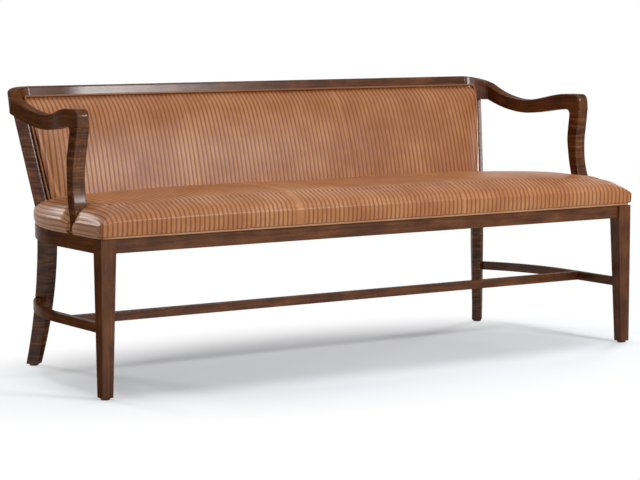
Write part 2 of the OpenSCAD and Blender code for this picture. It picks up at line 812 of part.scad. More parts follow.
module arm_post_solid() {
    difference() {
        union() {
            arm_post_body();
            box([arm_post_inner_x, arm_post_y - 14, rail_top_z - arm_post_lap],
                [arm_lap_x, arm_post_y + 14, rail_top_z + 1]);
        }
        arm_post_screw_holes();
        arm_post_dowels(joint_gap);
    }
}
module arm_post_right() {
    color(walnut) placed() arm_post_solid();
}
module arm_post_left() {
    color(walnut) placed() on_left() arm_post_solid();
}
module arm_dowels() {
    color(plain_wood) placed() both_sides() {
        arm_rear_dowels();
        arm_post_dowels();
    }
}
module arm_post_screws() {
    color(steel) placed() both_sides() arm_post_screw_solids();
}

// STRETCHERS
// The side stretchers follow the sweep of the side rails, and a long one joins them.

centre_tenon = 9;
module centre_stretcher_solid(grow = 0) {
    box([-stretcher_x0, centre_stretcher_y - stretcher_t / 2, stretcher_low_z],
        [stretcher_x0, centre_stretcher_y + stretcher_t / 2, stretcher_top_z], grow);
}
module centre_stretcher_tenons(grow = 0) {
    box([-stretcher_x0 - centre_tenon, centre_stretcher_y - stretcher_tenon_t / 2,
         stretcher_mid_z - stretcher_tenon_h / 2],
        [stretcher_x0 + centre_tenon, centre_stretcher_y + stretcher_tenon_t / 2,
         stretcher_mid_z + stretcher_tenon_h / 2], grow);
}
module side_stretcher_solid() {
    difference() {
        union() {
            difference() {
                translate([0, 0, stretcher_low_z]) linear_extrude(stretcher_h) intersection() {
                    swept_plan(stretcher_r, stretcher_bend, stretcher_t, leg_foot_w - 2);
                    behind_ray([bend_x, stretcher_bend], stretcher_turn + 1.5);
                }
                leg_solid(joint_gap / 2);
                post_solid(joint_gap / 2);
            }
            side_stretcher_tenon();
        }
        stretcher_dowel(joint_gap);
        centre_stretcher_tenons(joint_gap);
    }
}
module side_stretcher_right() {
    color(walnut) placed() side_stretcher_solid();
}
module side_stretcher_left() {
    color(walnut) placed() on_left() side_stretcher_solid();
}
module centre_stretcher() {
    color(walnut) placed() {
        centre_stretcher_solid();
        centre_stretcher_tenons();
    }
}
module stretcher_dowels() {
    color(plain_wood) placed() both_sides() stretcher_dowel();
}

// BACK FRAME
// Between the posts a lower rail and two uprights carry a thin board, in the plane of the
// crest rail's front face.

// Slab that leans with the back, from one height to another
module raked_slab(x0, x1, front, t, z0, z1) {
    along_x(x0, x1) polygon([
        [back_plane_y(z0) + front, z0],
        [back_plane_y(z0) + front + t, z0],
        [back_plane_y(z1) + front + t, z1],
        [back_plane_y(z1) + front, z1],
    ]);
}
// Half the width between the middles of the posts at a height
function span_x(z) = post_b[0] + post_shift(z)[0];
// Upright prism whose ends follow the lean of the posts
module between_posts(inset, z0, z1) {
    along_y(0, depth_back) polygon([
        [-span_x(z0) + inset, z0],
        [span_x(z0) - inset, z0],
        [span_x(z1) - inset, z1],
        [-span_x(z1) + inset, z1],
    ]);
}
module fitted_slab(front, t, z0, z1, gap) {
    difference() {
        intersection() {
            raked_slab(-half_w, half_w, front, t, z0, z1);
            between_posts(post_b[0] - rear_rail_x, z0 - 1, z1 + 1);
        }
        both_sides() post_solid(gap);
    }
}
frame_front = board_t + joint_gap;
lower_rail_top = lower_rail_z + lower_rail_h;
module back_lower_rail() {
    color(plain_wood) placed() difference() {
        fitted_slab(frame_front, upright_t, lower_rail_z, lower_rail_top, joint_gap);
        both_sides() lower_rail_dowels(joint_gap);
        upright_dowels(joint_gap);
    }
}
module upright_dowels(grow = 0) {
    for (x = [-back_seam_x, back_seam_x]) for (z = [lower_rail_top, crest_bottom_z]) {
        y = back_plane_y(z) + frame_front + upright_t / 2;
        translate([x, y, z - dowel_l / 3 - grow]) cylinder(d = dowel_d - 2 + 2 * grow, h = dowel_l * 2 / 3 + 2 * grow);
    }
}
module back_uprights() {
    color(plain_wood) placed() difference() {
        for (x = [-back_seam_x, back_seam_x])
            raked_slab(x - upright_w / 2, x + upright_w / 2, frame_front, upright_t, lower_rail_top, crest_bottom_z);
        upright_dowels(joint_gap);
    }
}
board_low_z = deck_top_z + 6;
module back_board() {
    color(plain_wood) placed() fitted_slab(0, board_t, board_low_z, crest_bottom_z - joint_gap, soft_gap);
}

// PADDED BACK

cover_low_z = board_low_z;
cover_top_z = crest_top_z - crest_reveal;
function back_half_w(z) = span_x(z) - post_reveal;
pad_low_z = seat_rear_z + 7;
function back_mid_y(z) =
    max(seat_back_y + 3,
        back_plane_y(z) - lerp(pad_low_t, pad_top_t, clamp01((z - pad_low_z) / (cover_top_z - pad_low_z))));
function back_end_y(z) =
    max(seat_back_y + 4, post_b[1] + back_rake * lean_run(z) - 3 + 6 * clamp01((z - crest_bottom_z) / 43));
back_columns = [-1, -0.985, -0.96, -0.92, -0.86, -0.75, -0.6, -0.45, -0.2];
back_levels = [0, 0.14, 0.2, 0.26, 0.34, 0.44, 0.56, 0.68, 0.8, 0.9, 0.96, 0.985, 1];
// Share of the half width at which each column of the crowned face stands, with the seams
back_seam_share = back_seam_x / back_half_w(crest_bottom_z);
back_half = concat(back_columns, [-back_seam_share - 0.008, -back_seam_share, -back_seam_share + 0.008]);
function sorted(v) = len(v) < 2 ? v : let (
        p = v[0],
        low = [for (x = v) if (x < p) x],
        same = [for (x = v) if (x == p) x],
        high = [for (x = v) if (x > p) x]
    ) concat(sorted(low), same, sorted(high));
function mirrored(v) = concat(v, [0], [for (i = [len(v) - 1:-1:0]) -v[i]]);
back_s = mirrored(sorted(back_half));
seam_groove = 1.5;
function back_front_y(s, z) =
    lerp(back_mid_y(z), back_end_y(z), pow(abs(s), 8))
    + (abs(abs(s) - back_seam_share) < 0.001 ? seam_groove : 0)
    + (z > cover_top_z - 6 ? 3 * pow((z - cover_top_z + 6) / 6, 2) : 0);
function back_point(s, z, y) = [s * back_half_w(z), y, z];
// Closed solid between a front grid and a rear grid that share their rim
module slab_between(front, rear) {
    nv = len(front);
    nu = len(front[0]);
    points = concat([for (r = front) each r], [for (r = rear) each r]);
    o = nv * nu;
    function f(j, i) = j * nu + i;
    faces = concat(
        [for (j = [0:nv - 2]) for (i = [0:nu - 2]) each [
            [f(j, i), f(j + 1, i), f(j + 1, i + 1)], [f(j, i), f(j + 1, i + 1), f(j, i + 1)],
            [o + f(j, i), o + f(j + 1, i + 1), o + f(j + 1, i)], [o + f(j, i), o + f(j, i + 1), o + f(j + 1, i + 1)],
        ]],
        [for (i = [0:nu - 2]) each [
            [f(0, i), f(0, i + 1), o + f(0, i + 1)], [f(0, i), o + f(0, i + 1), o + f(0, i)],
            [f(nv - 1, i), o + f(nv - 1, i + 1), f(nv - 1, i + 1)],
            [f(nv - 1, i), o + f(nv - 1, i), o + f(nv - 1, i + 1)],
        ]],
        [for (j = [0:nv - 2]) each [
            [f(j, 0), o + f(j, 0), o + f(j + 1, 0)], [f(j, 0), o + f(j + 1, 0), f(j + 1, 0)],
            [f(j, nu - 1), o + f(j + 1, nu - 1), o + f(j, nu - 1)],
            [f(j, nu - 1), f(j + 1, nu - 1), o + f(j + 1, nu - 1)],
        ]]
    );
    polyhedron(points, faces, convexity = 4);
}
module back_pad() {
    zs = [for (v = back_levels) lerp(cover_low_z, cover_top_z, v)];
    slab_between(
        [for (z = zs) [for (s = back_s) back_point(s, z, back_front_y(s, z))]],
        [for (z = zs) [for (s = back_s) back_point(s, z, back_plane_y(z) - soft_gap)]]
    );
}
foam_low_z = cover_low_z + 6;
foam_high_z = crest_bottom_z - 20;
function foam_front(z) = max(seat_back_y + 9, back_mid_y(z) + 6);
module back_foam_solid(grow = 0) {
    x = back_half_w(foam_low_z) * 0.84 + grow;
    z0 = foam_low_z - grow;
    z1 = foam_high_z + grow;
    zm = seat_rear_z + 11;
    along_x(-x, x) polygon([
        [back_plane_y(z0) - soft_gap + grow, z0],
        [back_plane_y(z1) - soft_gap + grow, z1],
        [foam_front(z1) - grow, z1],
        [foam_front(zm) - grow, zm],
        [foam_front(z0) - grow, z0],
    ]);
}
module back_foam() {
    color(foam_colour) placed() back_foam_solid();
}
module back_cover() {
    color(leather) placed() soft_shell() difference() {
        back_pad();
        back_foam_solid(soft_gap);
        both_sides() post_solid(soft_gap);
        both_sides() crest_corner_body(soft_gap);
    }
}
// Piping up both ends and along the top of the padded back
pipe_r = piping_d / 2;
function back_pipe_end(z) =
    let (x = back_half_w(z) + pipe_r + soft_gap)
    [x, min(back_end_y(z) + 2, post_front_y(x, z)) - pipe_r - soft_gap, z];
// Depth of the post's front face at a width and height
function post_front_y(x, z) =
    let (c = post_corners(z))
    lerp(c[0][1], c[3][1], (c[0][0] - x) / (c[0][0] - c[3][0])) - 0.5;
function back_pipe_half(top) = concat(
    [for (z = [seat_rear_z + 2:30:cover_top_z - 12]) back_pipe_end(z)],
    [for (a = [58:8:82]) corner_point(a, corner_r - pipe_r - soft_gap - 0.5, top)],
    [[corner_x, back_plane_y(top) - pipe_r - soft_gap, top]]
);
module back_piping() {
    half = back_pipe_half(cover_top_z + pipe_r + soft_gap);
    other = [for (i = [len(half) - 1:-1:0]) [-half[i][0], half[i][1], half[i][2]]];
    color(leather) placed() cord(concat(half, other), piping_d, [0, 1, 0]);
}
module outside_back_cover() {
    color(leather) placed()
        fitted_slab(frame_front + upright_t + soft_gap, 3, rail_top_z + joint_gap,
                    crest_bottom_z - joint_gap, soft_gap);
}

// SEAT

module seat_plan(off, front, back) {
    wide = half_w + off;
    intersection() {
        translate([-wide, front]) square([2 * wide, back - front]);
        union() {
            translate([-wide, front]) square([2 * wide, bend_start - front]);
            translate([-bend_x, bend_start]) square([2 * bend_x, back]);
            for (x = [-bend_x, bend_x])
                translate([x, bend_start]) circle(r = bend_r + off, $fn = 360);
        }
    }
}
deck_in = 12;
module seat_deck() {
    color(plain_wood) placed() difference() {
        translate([0, 0, rail_top_z]) linear_extrude(deck_t) difference() {
            seat_plan(-deck_in, deck_in, rear_rail_y + 4);
            for (k = [-1.6, -0.5, 0.5, 1.6]) translate([k * seam_x, mid_y]) circle(d = 24);
        }
        both_sides() post_solid(soft_gap);
        both_sides() arm_post_body(soft_gap, 60);
        deck_screws_solid(joint_gap);
    }
}
module deck_screws() {
    color(steel) placed() deck_screws_solid();
}
foam_in = 46;
module seat_foam_solid(grow = 0) {
    difference() {
        translate([0, 0, deck_top_z + soft_gap - 2 * grow]) linear_extrude(seat_foam_h + 3 * grow)
            seat_plan(-foam_in + grow, 34 - grow, seat_back_y - 10 + grow);
        both_sides() arm_post_body(6 - grow, 60);
    }
}
module seat_foam() {
    color(foam_colour) placed() seat_foam_solid();
}
rebate_z = rail_top_z + piping_d + 0.8;
rebate_in = piping_d + 0.8;
function side_x(y, off) = y < bend_start
    ? half_w + off
    : bend_x + sqrt(pow(bend_r + off, 2) - pow(y - bend_start, 2));
seat_crown_y = 235;
seat_rows = concat(
    [0, 4, 12, 24, 44, 72, 110, 156, seat_crown_y],
    [for (k = [0.2, 0.4, 0.6, 0.78, 0.92, 1]) lerp(seat_crown_y, seat_back_y, k)]
);
seat_steps = [0, 5, 13, 26, 45, 80, 150, 300];
function seat_columns(w) = concat([for (d = seat_steps) -w + d], [-seam_x - 7, -seam_x, -seam_x + 7]);
// Share of the rise from the front edge to the crown, by depth
seat_front_rise = [
    [0, 0], [4, 0.2], [12, 0.37], [24, 0.53], [44, 0.72], [72, 0.865], [110, 0.955], [170, 1], [235, 1],
];
// Share of the rise from the ends, by the distance from the end
seat_end_rise = [
    [0, 0], [5, 0.15], [13, 0.335], [26, 0.51], [45, 0.655], [80, 0.74], [150, 0.83], [300, 0.94], [430, 1],
    [560, 1],
];
function end_distance(x, y) = y < bend_start
    ? half_w - abs(x)
    : bend_r - norm([abs(x) - bend_x, y - bend_start]);
function seat_mid_z(y) = y < seat_crown_y
    ? lerp(seat_front_z, seat_top_z, through(seat_front_rise, y, 1))
    : lerp(seat_top_z, seat_rear_z, pow((y - seat_crown_y) / (seat_back_y - seat_crown_y), 1.9));
function seat_z(x, y) =
    let (
        d = clamp01(end_distance(x, y) / 560) * 560,
        share = through(seat_end_rise, d, 1),
        seam = (abs(abs(x) - seam_x) < 0.1) ? seam_groove : 0
    )
    lerp(seat_edge_z, seat_mid_z(y), share) - seam;
// Point of the seat's outline: along the front, up one side, along the back and down the other
function seat_xs(y, off) = mirrored(seat_columns(side_x(y, off)));
function rim(off, z) = let (
        n = len(seat_xs(0, 0)),
        front = -off,
        depths = [for (y = seat_rows) lerp(front, seat_back_y, y / seat_back_y)]
    ) concat(
        [for (i = [0:n - 1]) [seat_xs(0, off)[i], front, z]],
        [for (j = [1:len(depths) - 1]) [side_x(depths[j], off), depths[j], z]],
        [for (i = [n - 2:-1:0]) [seat_xs(seat_back_y, off)[i], seat_back_y, z]],
        [for (j = [len(depths) - 2:-1:1]) [-side_x(depths[j], off), depths[j], z]]
    );
module seat_pad() {
    nu = len(seat_xs(0, 0));
    nv = len(seat_rows);
    grid = [for (y = seat_rows) [for (x = seat_xs(y, 0)) [x, y, seat_z(x, y)]]];
    // Rings down the sides: the bulge, the piping rebate and the foot
    mid_z = lerp(rebate_z, seat_edge_z, 0.45);
    rings = [
        rim(seat_bulge, lerp(mid_z, seat_edge_z, 0.3)),
        rim(seat_bulge * 0.7, lerp(rebate_z, mid_z, 0.55)),
        rim(-1, rebate_z),
        rim(-rebate_in, rebate_z),
        rim(-rebate_in, rail_top_z + joint_gap),
    ];
    m = len(rings[0]);
    g = nu * nv;
    edge = concat(
        [for (i = [0:nu - 1]) i],
        [for (j = [1:nv - 1]) j * nu + nu - 1],
        [for (i = [nu - 2:-1:0]) (nv - 1) * nu + i],
        [for (j = [nv - 2:-1:1]) j * nu]
    );
    function id(r, i) = r < 0 ? edge[i % m] : g + r * m + i % m;
    last = len(rings) - 1;
    faces = concat(
        [for (j = [0:nv - 2]) for (i = [0:nu - 2]) let (a = j * nu + i) each [
            [a, a + nu + 1, a + 1], [a, a + nu, a + nu + 1],
        ]],
        [for (r = [-1:last - 1]) for (i = [0:m - 1]) each [
            [id(r, i), id(r, i + 1), id(r + 1, i + 1)], [id(r, i), id(r + 1, i + 1), id(r + 1, i)],
        ]],
        [[for (i = [0:m - 1]) id(last, i)]]
    );
    polyhedron(concat([for (r = grid) each r], [for (r = rings) each r]), faces, convexity = 6);
}
module seat_cover() {
    color(leather) placed() soft_shell() difference() {
        seat_pad();
        translate([0, 0, rail_top_z - 1]) linear_extrude(deck_t + 1 + soft_gap)
            seat_plan(-deck_in + soft_gap, deck_in - soft_gap, seat_back_y + 1);
        seat_foam_solid(soft_gap);
        both_sides() post_solid(soft_gap);
        both_sides() arm_post_body(soft_gap, 60);
    }
}
// Piping in the rebate under the seat cover, open where the arm posts stand
pipe_line = pipe_r + 0.3;
pipe_corner = 12;
function seat_pipe_front(x, post_front) = let (c = [x - pipe_corner, pipe_line + pipe_corner])
    concat([for (a = [-90:15:0]) c + polar(pipe_corner, a)], [[x, post_front]]);
function seat_pipe_rear(x, post_back) = concat(
    [[x, post_back]],
    [for (a = [0:3:post_turn - 2]) [bend_x, bend_start] + polar(bend_r - pipe_line, a)]
);
module seat_piping() {
    z = rail_top_z + pipe_line;
    gap = arm_post_rows[0][2] / 2 + 1.5;
    front = seat_pipe_front(half_w - pipe_line, arm_post_y - gap);
    rear = seat_pipe_rear(half_w - pipe_line, arm_post_y + gap);
    color(leather) placed() {
        cord(concat(
            [for (i = [len(front) - 1:-1:0]) [-front[i][0], front[i][1], z]],
            [for (p = front) [p[0], p[1], z]]
        ), piping_d, [0, 0, 1]);
        both_sides() cord([for (p = rear) [p[0], p[1], z]], piping_d, [0, 0, 1]);
    }
}

// FEET

module glide(at) {
    translate([at[0], at[1], 0]) rotate_extrude() polygon([
        [nail_head_d / 2 + joint_gap, 0],
        [glide_d / 2 - 1.5, 0],
        [glide_d / 2, 1.5],
        [glide_d / 2, glide_h],
        [nail_d / 2 + joint_gap, glide_h],
        [nail_d / 2 + joint_gap, nail_head_h + 0.8],
        [nail_head_d / 2 + joint_gap, nail_head_h + 0.8],
    ]);
}
module glide_nail(at) {
    translate([at[0], at[1], 0.7]) {
        cylinder(d = nail_head_d, h = nail_head_h);
        cylinder(d = nail_d, h = nail_l);
    }
}
module foot_glides() {
    color(dark_plastic) placed() both_sides() {
        glide(front_glide);
        glide(rear_glide);
    }
}
module glide_nails() {
    color(steel) placed() both_sides() {
        glide_nail(front_glide);
        glide_nail(rear_glide);
    }
}

front_leg_left();
front_leg_right();
rear_post_left();
rear_post_right();
front_rail();
rear_rail();
side_rail_left();
side_rail_right();
cross_rails();
corner_blocks();
corner_block_screws();
rail_dowels();
crest_rail();
crest_corner_left();
crest_corner_right();
crest_dowels();
arm_left();
arm_right();
arm_post_left();
arm_post_right();
arm_dowels();
arm_post_screws();
side_stretcher_left();
side_stretcher_right();
centre_stretcher();
stretcher_dowels();
back_lower_rail();
back_uprights();
back_board();
back_foam();
back_cover();
back_piping();
outside_back_cover();
seat_deck();
deck_screws();
seat_foam();
seat_cover();
seat_piping();
foot_glides();
glide_nails();
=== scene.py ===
# %% [markdown]
# # A long upholstered bench
# The bench has a walnut-stained show frame, a crowned leather seat and a padded leather
# back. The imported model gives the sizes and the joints. This script adds the looks: wood
# with eased edges and grain, and leather that is stretched over a swollen filling.

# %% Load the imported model
import math
import bpy
import numpy as np
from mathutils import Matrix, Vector


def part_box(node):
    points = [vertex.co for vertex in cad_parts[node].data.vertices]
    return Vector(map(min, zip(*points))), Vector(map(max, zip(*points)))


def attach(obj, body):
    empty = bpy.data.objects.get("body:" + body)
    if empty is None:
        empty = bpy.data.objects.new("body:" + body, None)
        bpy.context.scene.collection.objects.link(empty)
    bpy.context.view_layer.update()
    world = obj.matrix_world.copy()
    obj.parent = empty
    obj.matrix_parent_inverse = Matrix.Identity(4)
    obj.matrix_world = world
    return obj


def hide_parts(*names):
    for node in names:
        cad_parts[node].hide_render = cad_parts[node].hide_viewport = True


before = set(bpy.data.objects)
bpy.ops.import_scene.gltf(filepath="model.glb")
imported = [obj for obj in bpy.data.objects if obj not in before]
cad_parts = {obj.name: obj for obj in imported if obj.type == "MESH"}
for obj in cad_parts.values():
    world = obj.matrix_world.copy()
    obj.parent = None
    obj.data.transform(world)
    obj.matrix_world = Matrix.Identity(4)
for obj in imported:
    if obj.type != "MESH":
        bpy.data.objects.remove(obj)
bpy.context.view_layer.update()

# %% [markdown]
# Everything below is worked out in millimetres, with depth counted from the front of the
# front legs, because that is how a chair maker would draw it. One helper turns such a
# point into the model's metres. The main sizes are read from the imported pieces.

MM = 0.001
front_of_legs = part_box("front_leg_right")[0].y


def to_model(points):
    """Millimetres with depth from the front of the legs, to the model's metres."""
    return np.asarray(points, float) * MM + np.array([0.0, front_of_legs, 0.0])


def box_mm(node):
    """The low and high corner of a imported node's box, in these millimetres."""
    low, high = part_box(node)
    return [np.array([p.x, p.y - front_of_legs, p.z]) / MM for p in (low, high)]


leg_low, leg_high = box_mm("front_leg_right")
half_w = leg_high[0]
leg_w = leg_high[0] - leg_low[0]
rail_bottom, rail_top = box_mm("front_rail")[0][2], leg_high[2]
crest_low, crest_high = box_mm("crest_rail")
crest_bottom, crest_top = crest_low[2], crest_high[2]
stretcher_low, stretcher_high = box_mm("centre_stretcher")
glide_h = box_mm("foot_glides")[1][2]
print(f"half width {half_w:.1f}, rail {rail_bottom:.1f} to {rail_top:.1f}, crest top {crest_top:.1f} mm")

# %% [markdown]
# ## The camera
# It stands where the photographer stood, well to the left of the bench and a little above
# the arms, with a long lens so that the far end hardly shrinks. Its place was worked out
# from the straight and level edges of the bench.

# %% Camera
def add_object(name, data):
    """Puts a camera, a mesh or a lamp in the scene."""
    obj = bpy.data.objects.new(name, data)
    bpy.context.scene.collection.objects.link(obj)
    return obj


camera_data = bpy.data.cameras.new("camera")
camera_data.lens = 124.22
camera_data.sensor_width = 36.0
camera = add_object("camera", camera_data)
camera.location = (-3.643876, -5.484599, 1.053776)
camera.rotation_euler = (math.pi / 2 - 0.1075105, 0.0, -0.5870278)
bpy.context.scene.camera = camera
print("camera", [round(v, 3) for v in camera.location])

# %% [markdown]
# ## Wooden sticks
# Nearly all of the show frame is made of sticks: a four-cornered section that is carried
# along a line and changes on the way. A joiner eases every long edge with a plane, and that
# small round edge is what catches the light. A bevel modifier could make it, but on bent
# and tapered sticks it is steadier to round each corner of the section first and then loft.
# Each stick also stores where every point lies in the plank it was cut from, so that the
# grain later follows the piece round its bends.

# %% Helpers for sticks
def unit(v):
    """The same direction with length 1."""
    return v / np.linalg.norm(v)


def lerp(a, b, t):
    """From a to b while t goes from 0 to 1."""
    return a + (b - a) * t


def clamp01(t):
    return np.clip(t, 0.0, 1.0)


def sway(t):
    """Rises from 0 to 1 with a level start and a level end."""
    return (1 - np.cos(np.pi * clamp01(t))) / 2


def smooth(a, b, slope_a, slope_b, t):
    """From a to b with the given slopes at the ends, each as the change over the whole step."""
    return ((2 * t ** 3 - 3 * t * t + 1) * a + (t ** 3 - 2 * t * t + t) * slope_a
            + (3 * t * t - 2 * t ** 3) * b + (t ** 3 - t * t) * slope_b)


def polar(r, degrees):
    """A step in the plan, by its length and its angle from +X."""
    a = np.radians(degrees)
    return np.array([r * np.cos(a), r * np.sin(a)])


HOLD = 1.5


def rounded(corners, radius):
    """A section with each corner turned into an arc, and a holding point beside each arc."""
    corners = np.asarray(corners, float)
    radii = np.broadcast_to(radius, len(corners))
    ring = []
    for i, c in enumerate(corners):
        back = unit(corners[i - 1] - c)
        ahead = unit(corners[(i + 1) % len(corners)] - c)
        a, b = c + back * radii[i], c + ahead * radii[i]
        ring.append(a + back * HOLD)
        for t in (0.0, 0.25, 0.5, 0.75, 1.0):
            ring.append((1 - t) ** 2 * a + 2 * t * (1 - t) * c + t * t * b)
        ring.append(b + ahead * HOLD)
    return np.array(ring)


def level_ring(x0, x1, y0, y1, z, radius):
    """The section of an upright stick."""
    return rounded([(x0, y0, z), (x1, y0, z), (x1, y1, z), (x0, y1, z)], radius)


def upright_ring(a, b, z0, z1, radius=1.6):
    """The section of a rail, which stands on the line from a to b in the plan."""
    return rounded([(*a, z0), (*b, z0), (*b, z1), (*a, z1)], radius)


CORNER_POINTS = 7


def stick(rings, ends=(0.0, 0.0)):
    """Points, faces, grain coordinates and sharp end loops of one lofted stick.

    ends gives how much each end is eased, for a joint that shows as a fine line."""
    rings = [np.asarray(r, float) for r in rings]
    for which, e in enumerate(ends):
        if e > 0:
            a, b = (0, 1) if which == 0 else (-1, -2)
            mid = rings[a].mean(axis=0)
            run = unit(rings[b].mean(axis=0) - mid)
            inner = rings[a] + run * e
            outer = mid + (rings[a] - mid) * (1 - e / np.linalg.norm(rings[a] - mid, axis=1))[:, None]
            rings[a] = outer
            rings.insert(1 if which == 0 else len(rings) - 1, inner)
    n = len(rings[0])
    count = len(rings)
    points = np.concatenate(rings)
    faces = []
    for k in range(count - 1):
        for i in range(n):
            j = (i + 1) % n
            faces.append((k * n + i, k * n + j, (k + 1) * n + j, (k + 1) * n + i))
    faces.append(tuple(range(n - 1, -1, -1)))
    faces.append(tuple(range((count - 1) * n, count * n)))
    mids = np.array([r.mean(axis=0) for r in rings])
    steps = np.linalg.norm(np.diff(mids, axis=0), axis=1)
    along = np.concatenate([[0.0], np.cumsum(steps)])
    grain = []
    for r, mid, s in zip(rings, mids, along):
        across = unit(r[CORNER_POINTS + 3] - r[3])
        down = unit(r[3 * CORNER_POINTS + 3] - r[3])
        grain.append(np.stack([(r - mid) @ across, (r - mid) @ down, np.full(n, s)], axis=1))
    loops = [set(range(n)), set(range((count - 1) * n, count * n))]
    return points, faces, np.concatenate(grain), loops


# The left end is cut from another place in the plank, this far across, down and along
OTHER_CUT = np.array([311.0, 47.0, 804.0])
MIRROR = np.array([-1.0, 1.0, 1.0])


def mirrored(parts):
    """The same sticks for the left end of the bench."""
    return [
        (points * MIRROR, [face[::-1] for face in faces], grain + OTHER_CUT, loops)
        for points, faces, grain, loops in parts
    ]


made = []


def finish_piece(obj, nodes):
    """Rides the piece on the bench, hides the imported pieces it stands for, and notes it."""
    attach(obj, "root")
    if nodes:
        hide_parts(*nodes)
    made.append(obj.name)
    print(f"{obj.name}: {len(obj.data.vertices)} points")


def mesh_object(name, points, faces):
    """A smooth mesh from points in millimetres."""
    mesh = bpy.data.meshes.new(name)
    mesh.from_pydata([tuple(p) for p in to_model(points)], [], faces)
    mesh.shade_smooth()
    return add_object(name, mesh)


def store(mesh, name, values, kind="FLOAT_VECTOR"):
    """Writes a value for each point, which a material can read by its name."""
    attribute = mesh.attributes.new(name, kind, "POINT")
    key = "vector" if kind == "FLOAT_VECTOR" else "value"
    attribute.data.foreach_set(key, np.asarray(values, dtype=np.float32).ravel())


def wood_piece(name, parts, nodes, figure=0.0):
    """One wooden piece from one or more sticks. figure is how strongly its grain ripples."""
    points, faces, grain, sharp = [], [], [], []
    start = 0
    for p, f, g, loops in parts:
        points.append(p)
        grain.append(g)
        faces += [tuple(i + start for i in face) for face in f]
        sharp += [{i + start for i in loop} for loop in loops]
        start += len(p)
    obj = mesh_object(name, np.concatenate(points), faces)
    mesh = obj.data
    store(mesh, "grain", np.concatenate(grain))
    store(mesh, "figure", np.full(start, figure), "FLOAT")
    pairs = np.zeros(len(mesh.edges) * 2, dtype=np.int32)
    mesh.edges.foreach_get("vertices", pairs)
    pairs = pairs.reshape(-1, 2)
    marks = np.zeros(len(mesh.edges), dtype=bool)
    for loop in sharp:
        members = np.zeros(start, dtype=bool)
        members[list(loop)] = True
        marks |= members[pairs[:, 0]] & members[pairs[:, 1]]
    attribute = mesh.attributes.new("sharp_edge", "BOOLEAN", "EDGE")
    attribute.data.foreach_set("value", marks)
    finish_piece(obj, nodes)


def both_sides(name, parts, figure=0.0):
    """A right-hand piece and its mirror image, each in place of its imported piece."""
    wood_piece(name + "_right_wood", parts, [name + "_right"], figure)
    wood_piece(name + "_left_wood", mirrored(parts), [name + "_left"], figure)


# %% [markdown]
# ## Front legs
# Each leg is one square stick. Its outer front corner stands upright, and the two inner
# faces taper from the rail down to the floor, which makes the bench look light.

# %% Front legs
leg_foot_w = 32.5
edge_r = 2.2
eased_foot = 0.8


def leg_ring(z):
    """Section of the right front leg at a height."""
    w = lerp(leg_foot_w, leg_w, clamp01((z - glide_h) / (rail_bottom - glide_h)))
    return level_ring(half_w - w, half_w, 0, w, z, edge_r)


leg_levels = (glide_h, 90, 180, 290, rail_bottom, rail_top)
both_sides("front_leg", [stick([leg_ring(z) for z in leg_levels], (eased_foot, 0.0))])

# %% [markdown]
# ## Rear posts
# A rear post is one piece from the floor to the crest rail. The foot sweeps out like a
# sabre, and above the seat the post leans back and out. Its outer face stays square to the
# side rail that sweeps in to meet it. The bandsawn curve shows rippled figure.

# %% Rear posts
bend_r = 600.0
bend_start = 250.0
post_turn = 35.4
post_face_w = 34.5
post_front_w = 29.5
post_depth = 43.0
foot_sweep = 28.0
lean_ease = 12.0
post_flare = 0.132
back_rake = 0.23
bend_x = half_w - bend_r
bend_middle = np.array([bend_x, bend_start])
post_b = bend_middle + polar(bend_r + 2 - post_face_w, post_turn)
waist_z = rail_bottom - 5


def lean_run(z):
    """The height over which a post leans, with a soft start above the seat."""
    rise = max(0.0, z - rail_top)
    return rise - lean_ease * (1 - math.exp(-rise / lean_ease))


def foot_part(z):
    """1 on the floor, falling to 0 just under the rail."""
    return clamp01((waist_z - z) / waist_z) ** 2


def post_shift(z):
    """How far the right post has moved out and back at a height."""
    return foot_sweep * foot_part(z) * np.array([1, 1]) + np.array([post_flare, back_rake]) * lean_run(z)


def post_corners(z):
    """Front, outer, rear and inner corner of the right post at a height."""
    f = foot_part(z)
    b = post_b + post_shift(z)
    outer = lerp(polar(post_face_w, post_turn), polar(post_face_w + 2, 47), f)
    inner = lerp(polar(post_front_w, 174), polar(post_front_w + 1.5, 137), f)
    rear = lerp(polar(post_depth, 102), polar(post_depth + 5, 88), f)
    return [b, b + outer, b + rear, b + inner]


def post_ring(z):
    return rounded([(p[0], p[1], z) for p in post_corners(z)], edge_r)


eased_joint = 0.4
post_levels = np.concatenate([
    np.linspace(glide_h, waist_z, 22),
    np.linspace(rail_top, rail_top + 45, 10),
    np.linspace(rail_top + 51, crest_bottom, 14),
])
post_rings = [post_ring(z) for z in post_levels]
both_sides("rear_post", [stick(post_rings, (eased_foot, eased_joint))], figure=1.0)

# %% [markdown]
# ## Seat rails
# The front rail is straight and stands a little behind the faces of the legs. Each side
# rail runs straight back from its leg and then sweeps inwards in one long arc, so the seat
# is narrower behind. Both are lofted from a plain rectangle.

# %% Seat rails
rail_setback = 8.0
rail_t = 24.0


def swept(outer_r, start, t, z0, z1, from_y, to_angle):
    """Rings of a member that runs straight back and then sweeps inwards."""
    x = bend_x + outer_r
    centre = np.array([bend_x, start])
    lines = [((x - t, y), (x, y)) for y in np.linspace(from_y, start, 5)[:-1]]
    for a in np.linspace(0, to_angle, 19):
        lines.append((centre + polar(outer_r - t, a), centre + polar(outer_r, a)))
    return [upright_ring(inner, outer, z0, z1) for inner, outer in lines]


into_leg = 3.0
end_x = half_w - leg_w + into_leg
front_rail_rings = [
    upright_ring((x, rail_setback), (x, rail_setback + rail_t), rail_bottom, rail_top)
    for x in np.linspace(-end_x, end_x, 9)
]
wood_piece("front_rail_wood", [stick(front_rail_rings)], ["front_rail"])
both_sides("side_rail", [stick(swept(
    bend_r, bend_start, rail_t, rail_bottom, rail_top, leg_w - into_leg, post_turn,
))])

